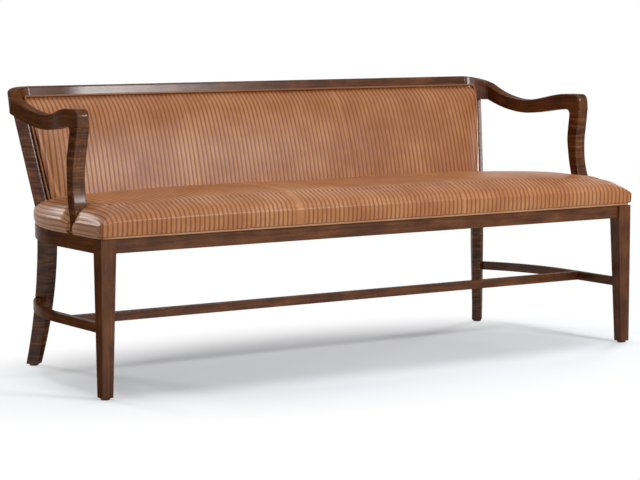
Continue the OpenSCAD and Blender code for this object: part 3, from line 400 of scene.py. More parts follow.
# %% [markdown]
# ## Stretchers
# An H of thin stretchers ties the legs together near the floor. The side ones follow the
# sweep of the side rails, and the long one joins their middles.

# %% Stretchers
stretcher_in = 9.9
stretcher_t = 20.0
stretcher_z0, stretcher_z1 = [corner[2] for corner in box_mm("side_stretcher_right")]
stretcher_mid = (stretcher_z0 + stretcher_z1) / 2
stretcher_r = bend_r - stretcher_in
post_outer = post_corners(stretcher_mid)[1]
stretcher_bend = post_outer[1] - math.sqrt(stretcher_r ** 2 - (post_outer[0] - bend_x) ** 2)
stretcher_turn = math.degrees(math.atan2(post_outer[1] - stretcher_bend, post_outer[0] - bend_x))
leg_back = lerp(leg_foot_w, leg_w, (stretcher_mid - glide_h) / (rail_bottom - glide_h))
into_post = 0.3
both_sides("side_stretcher", [stick(swept(
    stretcher_r, stretcher_bend, stretcher_t, stretcher_z0, stretcher_z1,
    leg_back - into_leg, stretcher_turn + into_post,
))])
centre_x = half_w - stretcher_in - stretcher_t + 1
centre_y = (stretcher_low[1] + stretcher_high[1]) / 2
centre_y0, centre_y1 = centre_y - stretcher_t / 2, centre_y + stretcher_t / 2
wood_piece("centre_stretcher_wood", [stick([
    upright_ring((x, centre_y0), (x, centre_y1), stretcher_z0, stretcher_z1)
    for x in np.linspace(-centre_x, centre_x, 7)
])], ["centre_stretcher"])

# %% [markdown]
# ## Crest rail and its corners
# The crest rail is a straight plank that leans back with the posts. At each end a corner
# block, cut from the solid, turns it into the arm while its top edge falls away. The lean
# fades out round the corner, so the arm leaves it upright.

# %% Crest rail and corners
corner_r = 55.0
crest_t = 35.0
corner_fall = 27.0
arm_rear_in = 41.9
crest_front = crest_high[1] - crest_t
corner_x = half_w - arm_rear_in - crest_t - corner_r
corner_y = crest_front - corner_r
arm_rear_top = crest_top - corner_fall
edge_top_r = 3.0
crest_edges = [edge_r, edge_r, edge_top_r, edge_top_r]
eased_block = 0.5


def back_plane(z):
    """Depth of the crest rail's front face, carried on down its lean."""
    return crest_front - back_rake * (crest_top - z)


def crest_ring(x):
    """Section of the crest rail, which leans back."""
    drop = back_rake * (crest_top - crest_bottom)
    return rounded([
        (x, crest_front - drop, crest_bottom), (x, crest_front + crest_t - drop, crest_bottom),
        (x, crest_front + crest_t, crest_top), (x, crest_front, crest_top),
    ], crest_edges)


def corner_point(a, r, z):
    """A point of the right corner block, by its angle, its radius and its height."""
    lean = np.array([post_flare * math.sin(math.radians(2 * a)), back_rake * math.sin(math.radians(a))])
    p = np.array([corner_x, corner_y]) + polar(r, a) + lean * (z - crest_top)
    return (p[0], p[1], z)


def corner_ring(a):
    """Section of the right corner block: 90 degrees is the crest and 0 the arm."""
    top = crest_top - corner_fall * ((90 - a) / 90) ** 2
    return rounded([
        corner_point(a, corner_r, crest_bottom), corner_point(a, corner_r + crest_t, crest_bottom),
        corner_point(a, corner_r + crest_t, top), corner_point(a, corner_r, top),
    ], crest_edges)


crest_rings = [crest_ring(x) for x in np.linspace(-corner_x, corner_x, 9)]
wood_piece("crest_rail_wood", [stick(crest_rings, (eased_block, eased_block))], ["crest_rail"])
corner_rings = [corner_ring(a) for a in np.linspace(90, 0, 37)]
both_sides("crest_corner", [stick(corner_rings, (eased_block, eased_block))], figure=0.4)

# %% [markdown]
# ## Arms
# Each arm falls from the corner block to a dip, then rises and sways out to a rounded nose
# over its post. It is lofted along its depth, and near the nose the section is rounded more
# and drawn in, as a carver would shape it with a spokeshave.

# %% Arms
arm_nose_z = 765.0
arm_dip_z = 740.5
arm_dip_h = 42.0
arm_nose_h = 49.0
arm_dip_y = 425.0
arm_front_y = 176.5
arm_seat_y = arm_front_y + 64.0
nose_r = 22.0
arm_nose_w = 37.0
arm_dip_w = 33.0
arm_nose_in = 44.4
arm_dip_in = 65.9
arm_dip_bottom = arm_dip_z - arm_dip_h
arm_nose_bottom = arm_nose_z - arm_nose_h


def arm_ring(y):
    """Section of the right arm at a depth."""
    rear = clamp01((y - arm_dip_y) / (corner_y - arm_dip_y))
    front = sway((arm_dip_y - y) / (arm_dip_y - arm_seat_y))
    t = clamp01((arm_front_y + nose_r - y) / nose_r)
    nose_drop = nose_r * (1 - math.sqrt(1 - t * t))
    if y > arm_dip_y:
        top = lerp(arm_dip_z, arm_rear_top, rear ** 2)
        bottom = lerp(arm_dip_bottom, crest_bottom, rear ** 1.8)
        mid = half_w - lerp(arm_dip_in, arm_rear_in + crest_t / 2, rear ** 2)
        w = lerp(arm_dip_w, crest_t, rear ** 2)
    else:
        top = lerp(arm_dip_z, arm_nose_z, front) - nose_drop
        bottom = lerp(arm_dip_bottom, arm_nose_bottom, front)
        mid = half_w - lerp(arm_dip_in, arm_nose_in, front)
        w = lerp(arm_dip_w, arm_nose_w, front)
    # The nose is carved rounder over its last 34 mm and drawn in over its last 9 mm
    near_nose = clamp01((arm_front_y + 34 - y) / 34) ** 1.5
    t = clamp01((arm_front_y + 9 - y) / 9)
    tuck = 6.0 * (1 - math.sqrt(1 - t * t))
    low, high = w / 2 - 0.2 * tuck, w / 2 - tuck
    r_top = edge_top_r + 7.0 * near_nose
    return rounded([
        (mid - low, y, bottom), (mid + low, y, bottom), (mid + high, y, top), (mid - high, y, top),
    ], [edge_r, edge_r, r_top, r_top])


nose_stations = [arm_front_y + nose_r * (1 - math.sin(math.radians(a))) for a in range(0, 91, 9)]
arm_stations = np.concatenate([
    np.linspace(corner_y, arm_dip_y, 26), np.linspace(arm_dip_y, arm_seat_y, 22)[1:],
    np.linspace(arm_seat_y, arm_front_y + nose_r, 8)[1:-1], nose_stations,
])
both_sides("arm", [stick([arm_ring(y) for y in arm_stations], (eased_block, 0.0))])

# %% [markdown]
# ## Arm posts
# The arm posts sway like an S from the side rail up to the nose of the arm, with a knee low
# down where the leather is notched round them. A tongue below laps the inside of the side
# rail. Their rippled figure runs across the front.

# %% Arm posts
arm_post_y = 181.0
arm_post_in = 28.4
arm_post_foot_w = 39.0
arm_post_h = arm_nose_bottom - rail_top
# Share of the height, how far the post sways back there, and its depth
arm_post_rows = np.array([
    (0.00, 0.0, 32), (0.09, 3.0, 35), (0.16, 7.5, 39), (0.22, 14.0, 40),
    (0.28, 22.0, 37), (0.36, 28.5, 36), (0.46, 33.5, 36), (0.57, 35.5, 39),
    (0.68, 35.5, 43), (0.80, 30.0, 45), (0.92, 23.5, 45.5), (1.00, 21.0, 47),
])
flare_r = 14.0
arm_post_edge_r = 2.6


def through(rows, q, k):
    """Value of column k at q, on a smooth curve through the rows."""
    x, v = rows[:, 0], rows[:, k]
    low = np.maximum(np.arange(len(x)) - 1, 0)
    high = np.minimum(np.arange(len(x)) + 1, len(x) - 1)
    slope = (v[high] - v[low]) / (x[high] - x[low])
    i = int(np.clip(np.searchsorted(x, q) - 1, 0, len(x) - 2))
    h = x[i + 1] - x[i]
    return smooth(v[i], v[i + 1], h * slope[i], h * slope[i + 1], (q - x[i]) / h)


def arm_post_ring(t):
    """Section of the right arm post at a share of its height."""
    x = half_w - lerp(arm_post_in, arm_nose_in, t ** 0.65)
    w = lerp(arm_post_foot_w, arm_nose_w, t) / 2
    y = arm_post_y + through(arm_post_rows, t, 1)
    d = through(arm_post_rows, t, 2) / 2
    z = rail_top + t * arm_post_h
    s = clamp01((t * arm_post_h - (arm_post_h - flare_r)) / flare_r)
    back = y + d + flare_r * (1 - math.sqrt(1 - s * s))
    return level_ring(x - w, x + w, y - d, back, z, arm_post_edge_r)


flare_t = flare_r / arm_post_h
arm_post_levels = np.concatenate([
    np.linspace(0, 0.45, 28), np.linspace(0.45, 1 - flare_t, 26)[1:],
    [1 - flare_t * (1 - math.sin(math.radians(a))) for a in (15, 30, 42, 54, 64, 72, 78)],
])
tongue_x = half_w - arm_post_in - arm_post_foot_w / 2
tongue_end = half_w - rail_t - 0.1
tongue_y0, tongue_y1 = arm_post_y - 14, arm_post_y + 14
tongue_h = 32
tongue_edge_r = 0.8
tongue = stick([
    level_ring(tongue_x, tongue_end, tongue_y0, tongue_y1, z, tongue_edge_r)
    for z in (rail_top - tongue_h, rail_top + 1)
])
arm_post_rings = [arm_post_ring(t) for t in arm_post_levels]
both_sides("arm_post", [stick(arm_post_rings, (0.0, eased_joint)), tongue], figure=0.8)

# %% [markdown]
# ## Leather over a filling
# The seat and the back are leather stretched over foam. An upholsterer pulls one cloth over
# the top and down the sides, and folds it at the front corners. The mesh is made the same
# way, as one grid that runs over the top and down each side, so that its lines stay
# straight. Cloth simulation then swells it against the edges where it is fixed. The sewn
# ribs of the leather come after that, on a finer grid.

# %% Helpers for leather
RIB = 14.85
RIB_HALF_W = 1.9
RIB_DEPTH = 0.6
SEAM_HALF_W = 1.6
REFINE = 3
SWELL_FRAMES = 13


def spread(*stops):
    """Stations through stops of (value, steps to the next one)."""
    out = [stops[0][0]]
    for (a, steps), (b, _) in zip(stops, stops[1:]):
        out += list(np.linspace(a, b, steps + 1)[1:])
    return np.array(out)


def refine_rows(p):
    """A grid with smooth new rows between the old ones, along its first direction."""
    before = np.concatenate([2 * p[:1] - p[1:2], p[:-1]])
    after = np.concatenate([p[1:], 2 * p[-1:] - p[-2:-1]])
    slope = (after - before) / 2
    new = [smooth(p[:-1], p[1:], slope[:-1], slope[1:], t) for t in np.arange(REFINE) / REFINE]
    return np.concatenate([np.stack(new, axis=1).reshape(-1, *p.shape[1:]), p[-1:]])


def refine_columns(p):
    """The same along its second direction."""
    return refine_rows(p.transpose(1, 0, 2)).transpose(1, 0, 2)


def grid_index(grid):
    """Point numbers of a grid, in its rows and columns."""
    return np.arange(grid.shape[0] * grid.shape[1]).reshape(grid.shape[:2])


def rim_of(index):
    """Point numbers round the rim of a grid."""
    return np.concatenate([index[0, :-1], index[:-1, -1], index[-1, :0:-1], index[:0:-1, 0]])


def four_sided(faces):
    """The faces of the grids, without the many-sided ones that close a skin."""
    return [face for face in faces if len(face) == 4]


def near_lines(x, lines, width):
    """1 on any of the lines, falling away smoothly beside them."""
    return np.max([np.exp(-((x - line) / width) ** 2) for line in lines], axis=0)


def stretch_x(x, straight, full, wide):
    """Columns keep their place up to straight, and what lies between it and full ends at wide."""
    outer = lerp(straight, wide, (np.abs(x) - straight) / (full - straight))
    return np.where(np.abs(x) <= straight, x, np.sign(x) * outer)


def grid_faces(index):
    """Quads of a grid of point numbers."""
    a, b = index[:-1, :-1], index[1:, :-1]
    c, d = index[1:, 1:], index[:-1, 1:]
    return np.stack([a, d, c, b], axis=-1).reshape(-1, 4).tolist()


def normals_of(points, faces):
    """The direction straight out of the skin at each point."""
    quads = np.asarray(faces)
    p = points[quads]
    n = np.cross(p[:, 2] - p[:, 0], p[:, 3] - p[:, 1])
    total = np.zeros_like(points)
    for k in range(4):
        np.add.at(total, quads[:, k], n)
    return total / np.maximum(np.linalg.norm(total, axis=1), 1e-9)[:, None]


def swell(points, faces, pins, pressure, inset, cap):
    """Cloth that starts inside its shape and is blown out to it. pins is 1 where it is fixed."""
    outward = normals_of(points, four_sided(faces))
    start = points - outward * (inset * (1 - pins))[:, None]
    obj = mesh_object("swelling", start, faces)
    group = obj.vertex_groups.new(name="pins")
    for value in np.unique(pins):
        if value > 0:
            group.add(np.flatnonzero(pins == value).tolist(), float(value), "REPLACE")
    cloth = obj.modifiers.new("cloth", "CLOTH")
    for key, value in {
        "quality": 5, "mass": 0.35, "tension_stiffness": 25.0, "compression_stiffness": 25.0,
        "shear_stiffness": 8.0, "bending_stiffness": 2.0, "use_pressure": True,
        "uniform_pressure_force": pressure, "vertex_group_mass": "pins",
    }.items():
        setattr(cloth.settings, key, value)
    cloth.settings.effector_weights.gravity = 0.0
    for number in range(1, SWELL_FRAMES + 1):
        bpy.context.scene.frame_set(number)
    blown = obj.evaluated_get(bpy.context.evaluated_depsgraph_get()).to_mesh()
    moved = np.zeros(len(points) * 3, dtype=np.float32)
    blown.vertices.foreach_get("co", moved)
    bpy.context.scene.frame_set(1)
    bpy.data.objects.remove(obj)
    moved = (moved.reshape(-1, 3).astype(float) - np.array([0.0, front_of_legs, 0.0])) / MM
    rise = ((moved - points) * outward).sum(axis=1)
    print(f"swelling: {len(points)} points, from {rise.min():.2f} to {rise.max():.2f} mm")
    return points + outward * np.clip(rise, -cap, cap)[:, None]


def panel_columns(panels, x_end):
    """Columns of a cover on half the rib spacing of each panel, with the seams between them."""
    stations = []
    for low, high, pitch, phase in panels:
        first = math.ceil((low - phase) / (pitch / 2) + 0.35)
        last = math.floor((high - phase) / (pitch / 2) - 0.35)
        stations += [low, low + 1.5, high - 1.5, high]
        stations += [phase + k * pitch / 2 for k in range(first, last + 1)]
    return np.unique(np.round([x for x in stations if abs(x) <= x_end], 3))


def ribs_at(x, across, panels):
    """Rib count across the leather, tone and plainness at each point."""
    rib = np.zeros_like(x)
    tone = np.zeros_like(x)
    plain = np.ones_like(x)
    for number, (low, high, pitch, phase) in enumerate(panels):
        inside = (x >= low) & (x <= high)
        rib = np.where(inside, (across - phase) / pitch, rib)
        tone = np.where(inside, number / 2, tone)
        plain = np.where(inside, 0.0, plain)
    return np.stack([rib, tone, plain], axis=-1)


def groove(ribs):
    """How deep the leather dips at its sewn lines."""
    off = (ribs[..., 0] - np.round(ribs[..., 0])) * RIB
    return RIB_DEPTH * np.exp(-(off / RIB_HALF_W) ** 2) * (1 - ribs[..., 2])


def leather_piece(name, points, faces, ribs, nodes):
    """One closed piece of leather, which hides the imported pieces it stands for."""
    obj = mesh_object(name, points, faces)
    store(obj.data, "ribs", ribs)
    finish_piece(obj, nodes)


# %% [markdown]
# ## Seat
# The seat is crowned: it rises quickly from its front edge, then slowly to a crown, and
# falls again towards the back. Its ends are rounder than its front. The leather is notched
# round the two arm posts, where it is pulled down into the gap.

# %% Shape of the seat
seat_top = 530.0
seat_edge = 471.0
seat_front = 487.0
seat_rear = 498.0
seat_bulge = 5.0
seat_back_y = post_b[1] - 4.7
seat_crown_y = 235.0
piping_d = 6.2
rebate_z = rail_top + piping_d + 0.8
# Distance from the edge, and the share of the crown's height that is reached there
front_rise = np.array([
    (0, 0), (4, 0.2), (12, 0.37), (24, 0.53), (44, 0.72), (72, 0.865), (110, 0.955), (170, 1), (235, 1),
])
end_rise = np.array([
    (0, 0), (5, 0.15), (13, 0.335), (26, 0.51), (45, 0.655),
    (80, 0.74), (150, 0.83), (300, 0.94), (430, 1), (560, 1),
])


def curve(rows, q):
    """Values of a smooth curve through the rows, for a whole array."""
    return np.vectorize(lambda v: through(rows, v, 1))(np.clip(q, rows[0, 0], rows[-1, 0]))


def side_x(y, off=0.0):
    """Half the width of the seat at a depth, or of a line that far outside it."""
    y = np.asarray(y, float)
    swept_in = np.sqrt(np.maximum((bend_r + off) ** 2 - np.maximum(y - bend_start, 0) ** 2, 0))
    return np.where(y < bend_start, half_w + off, bend_x + swept_in)


def end_distance(x, y):
    """How far inside the end of the seat a point of the plan lies."""
    swept_in = bend_r - np.hypot(np.abs(x) - bend_x, y - bend_start)
    return np.where(y < bend_start, half_w - np.abs(x), swept_in)


def seat_height(x, y):
    """Height of the leather over a point of the plan."""
    front = lerp(seat_front, seat_top, curve(front_rise, y))
    fall = clamp01((y - seat_crown_y) / (seat_back_y - seat_crown_y)) ** 1.9
    mid = np.where(y < seat_crown_y, front, lerp(seat_top, seat_rear, fall))
    return lerp(seat_edge, mid, curve(end_rise, end_distance(x, y)))


print(f"seat: front edge {seat_front}, crown {seat_top}, rear edge {seat_rear} mm")

# %% Grid of the seat
# Each panel of ribs: its left and right ends, the spacing of its ribs and the place of one
seam_left, seam_right = -312.0, 269.0
seat_panels = [
    (-1000.0, seam_left, RIB, 1.23), (-283.0, seam_right, RIB, 12.18), (283.0, 1000.0, 15.5, 6.07),
]
straight_x = 780.0
end_part = spread((0.0, 8), (60.0, 6), (102.0, 6), (126.0, 4), (half_w - straight_x, 0))
inner = panel_columns(seat_panels, straight_x - 3)
columns = np.concatenate([-straight_x - end_part[::-1], inner, straight_x + end_part])
# Rows from the front to the back, close together round the arm posts
rows = spread(
    (0, 3), (9, 4), (30, 4), (62, 7), (122, 4), (154, 2), (160, 1), (163, 1), (166, 3), (196, 1),
    (199, 1), (202, 2), (210, 3), (234, 25), (480, 9), (560, 3), (seat_back_y, 0),
)
# Down the side: how far it stands out, in bulges, and how high, as a share of the side
side_drop = [
    (0.85, 0.86), (1.0, 0.68), (1.0, 0.45), (0.92, 0.25),
    (0.6, 0.08), (-0.1, 0.0), (-1.4, 0.0), (-1.4, -0.17),
]
corner_round = 9.0


def round_corner(p):
    """Turns the square front corners of the plan into arcs."""
    dx = np.abs(p[..., 0]) - (half_w - corner_round)
    dy = corner_round - p[..., 1]
    near = (dx > 0) & (dy > 0)
    reach = np.where(near, np.maximum(dx, dy) / np.maximum(np.hypot(dx, dy), 1e-6), 1.0)
    q = p.copy()
    q[..., 0] = np.where(near, np.sign(p[..., 0]) * (half_w - corner_round + dx * reach), p[..., 0])
    q[..., 1] = np.where(near, corner_round - dy * reach, p[..., 1])
    return q


def seat_skirt_side(out, height):
    """One line of the leather along the right side, for a step of side_drop."""
    off = seat_bulge * out
    y = lerp(-off, seat_back_y, rows / seat_back_y)
    z = np.full_like(y, rebate_z + height * (seat_edge - rebate_z))
    return np.stack([side_x(y, off), y, z], axis=-1)


def seat_skirt_front(out, height):
    """The same along the front, where the edge is higher in the middle."""
    off = seat_bulge * out
    edge = seat_height(columns, np.zeros_like(columns))
    z = rebate_z + height * (np.where(height > 0, edge, seat_edge) - rebate_z)
    x = stretch_x(columns, straight_x, half_w, half_w + off)
    return np.stack([x, np.full_like(z, -off), z], axis=-1)


grid_x = stretch_x(columns[None, :], straight_x, half_w, side_x(rows)[:, None])
grid_y = np.broadcast_to(rows[:, None], grid_x.shape)
top = np.stack([grid_x, grid_y, seat_height(grid_x, grid_y)], axis=-1)
right = np.stack([seat_skirt_side(*step) for step in side_drop], axis=1)
cover = round_corner(np.concatenate([right[:, ::-1] * MIRROR, top, right], axis=1))
front = round_corner(np.stack([top[0]] + [seat_skirt_front(*step) for step in side_drop]))
drop, wide = len(side_drop), len(columns)


def seat_mesh(cover, front, drop):
    """One closed skin from the cover's grid and the front's grid, which share three edges."""
    wide = front.shape[1]
    index = grid_index(cover)
    inner = front[1:, 1:-1]
    index_front = np.zeros(front.shape[:2], dtype=int)
    index_front[0] = index[0, drop:drop + wide]
    index_front[1:, 0] = index[0, :drop][::-1]
    index_front[1:, -1] = index[0, drop + wide:]
    index_front[1:, 1:-1] = grid_index(inner) + index.size
    faces = grid_faces(index) + grid_faces(index_front[::-1])
    under = list(index[:0:-1, 0]) + list(index_front[-1]) + list(index[1:, -1])
    faces += [[int(i) for i in under[::-1]], index[-1][::-1].tolist()]
    points = np.concatenate([cover.reshape(-1, 3), inner.reshape(-1, 3)])
    return points, faces, index, index_front


points, faces, index, index_front = seat_mesh(cover, front, drop)
print("seat grid", cover.shape[:2], "front", front.shape[:2], "points", len(points))

# %% [markdown]
# The skin is fixed at the piping, at the back and along its two sewn seams. It starts a
# little inside its final shape, and pressure from within swells it out, most in the middle
# of each panel. How far a point may move is capped, so the crown keeps its height.

# %% Swell the seat
seat_seams = (-297.5, 276.0)
seam_hold = 0.6
held = (near_lines(points[:, 0], seat_seams, 9.0) > 0.9) & (points[:, 1] > -2)
pins = np.where(held, seam_hold, 0.0)
pins[index[:, :3]] = 1
pins[index[:, -3:]] = 1
pins[index_front[-3:]] = 1
pins[index[-1]] = 1
seat_points = points
seat_points = swell(points, faces, pins, pressure=4.0, inset=4.5, cap=1.8)

# %% [markdown]
# Now the grid is made finer across the ribs. The leather is drawn into the notches round
# the arm posts, and the ribs and the two seams are pressed in.

# %% Notches, ribs and seams of the seat
cover_fine = refine_columns(seat_points[index])
front_fine = refine_rows(refine_columns(seat_points[index_front]))
first, last = drop * REFINE, (drop + wide - 1) * REFINE
front_fine[0] = cover_fine[0, first:last + 1]
front_fine[:, 0] = cover_fine[0, first::-1]
front_fine[:, -1] = cover_fine[0, last:]
points, faces, index, index_front = seat_mesh(cover_fine, front_fine, first)


def post_sway(z):
    """How far back the arm posts sway at a height."""
    t = clamp01((z - rail_top) / arm_post_h)
    return np.vectorize(lambda v: through(arm_post_rows, v, 1))(t)


notch_half = 18.0
notch_floor = half_w - 32.0
notch_drop = 9.0
notch_pull = 7.0


def notch(p):
    """Draws the leather down and in round the arm posts, and tucks it away behind them."""
    q = p.copy()
    gap = np.abs(p[:, 1] - arm_post_y)
    end = half_w + 8 - np.abs(p[:, 0])
    # The pull fades out 15 mm beside the notch, towards the middle of the seat and down the side
    beside = np.exp(-(np.maximum(gap - notch_half, 0) / 15) ** 2)
    near = beside * clamp01((110 - end) / 70) * clamp01((p[:, 2] - rebate_z - 4) / 30)
    q[:, 2] -= notch_drop * near
    q[:, 0] -= np.sign(p[:, 0]) * notch_pull * near * clamp01((70 - end) / 40)
    # The notch leans with the sway of the post
    with_post = clamp01((75 - gap) / 45) * clamp01((130 - end) / 50)
    q[:, 1] += post_sway(q[:, 2]) * with_post
    inside = (gap < notch_half - 1) & (np.abs(q[:, 0]) > notch_floor) & (p[:, 2] > rebate_z - 1)
    q[:, 0] = np.where(inside, np.sign(p[:, 0]) * notch_floor, q[:, 0])
    return q


# Distance across the leather, counted over the end and down the side. Near the ends the
# ribs are drawn out to follow the edge, and down the side they lie level.
flat = np.concatenate([cover_fine.reshape(-1, 3), front_fine[1:, 1:-1].reshape(-1, 3)])
shoulder = 45.0
flat_x, flat_y, flat_z = flat.T
edge_gap = np.maximum(end_distance(flat_x, flat_y), 0)
inward = np.maximum(shoulder - edge_gap, 0)
risen = curve(end_rise, shoulder) - curve(end_rise, np.minimum(edge_gap, shoulder))
over = np.hypot(inward, (seat_top - seat_edge) * risen) - inward
down = np.maximum(seat_edge - flat_z, 0)
follow = clamp01((150 - edge_gap) / 110)
swept_gap = np.maximum(half_w - edge_gap - np.minimum(np.abs(flat_x), half_w), 0)
sweep = swept_gap * follow ** 2 * (3 - 2 * follow)
extra = over * clamp01(0.15 + flat_y / 30) + down + sweep
is_cover = np.arange(len(flat)) < index.size
seat_ribs = ribs_at(flat_x, flat_x + np.sign(flat_x) * np.where(is_cover, extra, 0), seat_panels)
seam_depth = 1.6 * near_lines(flat_x, (seam_left, seam_right), SEAM_HALF_W)
depth = (groove(seat_ribs) + seam_depth) * clamp01((flat_z - rebate_z) / 6)
pressed = points - normals_of(points, four_sided(faces)) * depth[:, None]
leather_piece("seat_leather", notch(pressed), faces, seat_ribs, ["seat_cover", "seat_foam"])

# %% [markdown]
# The leather is folded at the two front corners and closed with a row of stitches, which
# stands up as a thin ridge from the piping to the shoulder. The ridge follows the edge
# where the side meets the front, and it is made below, with the piping.

# %% Line of the corner seams
fold = front_fine[:, 0] + np.array([-0.5, -0.5, 0.0])
corner_fold = fold[(fold[:, 2] > rebate_z + 0.5) & (fold[:, 2] < seat_edge + 4)]
print("corner seam", len(corner_fold), "points")

# %% [markdown]
# ## Padded back
# The back pad lies on a thin board between the posts. It is thick where it meets the seat
# and thin at the top, and its ribs stand upright. It is made as one grid with three loops
# round its edge, and swollen in the same way as the seat.

# %% Shape of the back
deck_t = 12.0
above_deck = 6.0
board_low = rail_top + deck_t + above_deck
back_top = crest_top - 31.0
post_reveal = 15.0
side_wall = 9.0
side_roll = 105.0
# Height and how far the leather stands in front of the crest rail's plane
pad_profile = np.array([
    (440, 58.5), (520, 58.4), (560, 57.6), (600, 55.6), (640, 52.3),
    (680, 46.8), (700, 43.2), (720, 38.8), (730, 35.9), (740, 31.6),
    (750, 25.3), (760, 16.8), (770, 6.0), (776, -1.5), (790, -2.0),
])
seam_edges = (-300.6, -290.7, 253.4, 263.4)
back_panels = [
    (-1000.0, seam_edges[0], 14.6, -8.26),
    (seam_edges[1], seam_edges[2], 14.55, -8.9),
    (seam_edges[3], 1000.0, 15.55, -8.65),
]


def back_half_w(z):
    """Half the width of the pad, between the posts."""
    return post_b[0] + np.vectorize(lambda v: post_shift(v)[0])(z) - post_reveal


def back_mid(z):
    """Depth of the pad's face, away from its ends."""
    return back_plane(z) - curve(pad_profile, z)


def back_end(z):
    """Depth of the pad's ends, which fall back by 6 mm up the crest."""
    lean = np.vectorize(lean_run)(z)
    ends = post_b[1] + back_rake * lean - 3 + 6 * clamp01((z - crest_bottom) / 43)
    return np.maximum(seat_back_y + 4, ends)


back_straight = 700.0
back_inner = panel_columns(back_panels, back_straight - 3)
full_half_w = float(back_half_w(np.array([crest_bottom]))[0])
back_ends = back_straight + spread((0.0, 7), (52.0, 5), (86.0, 4), (full_half_w - back_straight, 0))
back_columns = np.concatenate([-back_ends[::-1], back_inner, back_ends])
back_rows = spread(
    (board_low, 4), (seat_rear - 6, 3), (seat_rear + 15, 18),
    (back_top - 80, 8), (back_top - 32, 8), (back_top - 2, 0),
)
half = back_half_w(back_rows)[:, None]
back_x = stretch_x(back_columns[None, :], back_straight, full_half_w, half)
back_z = np.broadcast_to(back_rows[:, None], back_x.shape)
roll = 1 - (1 - clamp01((half - np.abs(back_x)) / side_roll)) ** 2.4
back_rim = np.maximum(back_end(back_z) - side_wall, back_mid(back_z))
back_y = lerp(back_rim, back_mid(back_z), roll)
face = np.stack([back_x, back_y, back_z], axis=-1)
edge_steps = (0.3, 0.65, 1.0)


def pad_mesh(face):
    """Closed pad from its front grid: loops run back from its rim to the board."""
    index = grid_index(face)
    rim = rim_of(index)
    flat = face.reshape(-1, 3)
    behind = flat[rim].copy()
    behind[:, 1] = back_plane(behind[:, 2]) - 0.3
    loops = [rim]
    points = [flat]
    total = len(flat)
    for t in edge_steps:
        points.append(lerp(flat[rim], behind, t))
        loops.append(np.arange(total, total + len(rim)))
        total += len(rim)
    faces = grid_faces(index[::-1])
    for a, b in zip(loops, loops[1:]):
        faces += np.stack([a, np.roll(a, -1), np.roll(b, -1), b], axis=-1)[:, ::-1].tolist()
    faces.append(loops[-1][::-1].tolist())
    return np.concatenate(points), faces, index, loops


points, faces, index, loops = pad_mesh(face)
back_seams = (-295.6, 258.4)
pins = np.where(near_lines(points[:, 0], back_seams, 8.0) > 0.9, seam_hold, 0.0)
pins[np.concatenate(loops[1:])] = 1
pins[index[:3]] = 1
points = swell(points, faces, pins, pressure=3.0, inset=3.0, cap=1.5)
points, faces, index, loops = pad_mesh(refine_columns(points[index]))
back_ribs = ribs_at(points[:, 0], points[:, 0], back_panels)
depth = groove(back_ribs) + 0.6 * near_lines(points[:, 0], seam_edges, SEAM_HALF_W)
depth[np.concatenate(loops[2:])] = 0
points = points - normals_of(points, four_sided(faces)) * depth[:, None]
leather_piece("back_leather", points, faces, back_ribs, ["back_cover", "back_foam"])

# %% [markdown]
# ## Piping
# A cord covered with the same leather closes the joint between leather and wood. It runs
# round the foot of the seat, open where the arm posts stand, and up both sides and along
# the top of the back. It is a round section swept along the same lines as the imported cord.

# %% Piping
pipe_r = piping_d / 2
soft_gap = 0.3


def tube(path, radius, side, around=14):
    """Rings of a round cord along a path. side is a direction that the path never takes."""
    path = np.asarray(path, float)
    rings = []
    for i, p in enumerate(path):
        along = unit(path[min(len(path) - 1, i + 1)] - path[max(0, i - 1)])
        u = unit(np.cross(side, along))
        v = np.cross(along, u)
        rings.append([p + radius * (math.cos(a) * u + math.sin(a) * v)
                      for a in np.linspace(0, 2 * math.pi, around, endpoint=False)])
    return np.array(rings)


def tube_mesh(ring_sets):
    """Points and faces of one or more cords, closed at their ends."""
    points, faces, start = [], [], 0
    for rings in ring_sets:
        index = grid_index(rings) + start
        index = np.concatenate([index, index[:, :1]], axis=1)
        faces += grid_faces(index)
        faces += [index[0, :-1].tolist(), index[-1, :-1][::-1].tolist()]
        points.append(rings.reshape(-1, 3))
        start += len(points[-1])
    return np.concatenate(points), faces


def dense(path, step=9.0):
    """The same line with points at even steps."""
    path = np.asarray(path, float)
    run = np.concatenate([[0], np.cumsum(np.linalg.norm(np.diff(path, axis=0), axis=1))])
    at = np.linspace(0, run[-1], max(3, int(run[-1] / step)))
    return np.stack([np.interp(at, run, path[:, k]) for k in range(3)], axis=1)


def with_mirrored(rings):
    """Rings on the right, and the same on the left, turned so that they still face out."""
    return [rings, rings[:, ::-1] * MIRROR]


def plain_ribs(points, tone=0.5):
    """Rib values for leather without sewn lines."""
    return np.tile([0.0, tone, 1.0], (len(points), 1))


pipe_line = pipe_r + soft_gap
pipe_corner = 12.0
pipe_z = rail_top + pipe_line
pipe_x = half_w - pipe_line
arm_post_gap = 17.5
corner_middle = np.array([pipe_x - pipe_corner, pipe_line + pipe_corner])
front_half = [(*(corner_middle + polar(pipe_corner, a)), pipe_z) for a in range(-90, 1, 10)]
front_half.append((pipe_x, arm_post_y - arm_post_gap, pipe_z))
front_path = [(-x, y, z) for x, y, z in front_half[::-1]] + front_half
rear_path = [(pipe_x, arm_post_y + arm_post_gap, pipe_z)]
for a in np.linspace(0, post_turn - 0.3, 19):
    rear_path.append((*(bend_middle + polar(bend_r - pipe_line, a)), pipe_z))
rear_rings = tube(dense(rear_path), pipe_r, (0, 0, 1))
points, faces = tube_mesh([tube(dense(front_path), pipe_r, (0, 0, 1)), *with_mirrored(rear_rings)])
leather_piece("seat_welt", points, faces, plain_ribs(points), ["seat_piping"])
corner_seam_r = 1.3
points, faces = tube_mesh(with_mirrored(tube(corner_fold, corner_seam_r, (0.7, -0.7, 0.0), around=8)))
leather_piece("corner_seams", points, faces, plain_ribs(points, 2.0), ["seat_cover"])


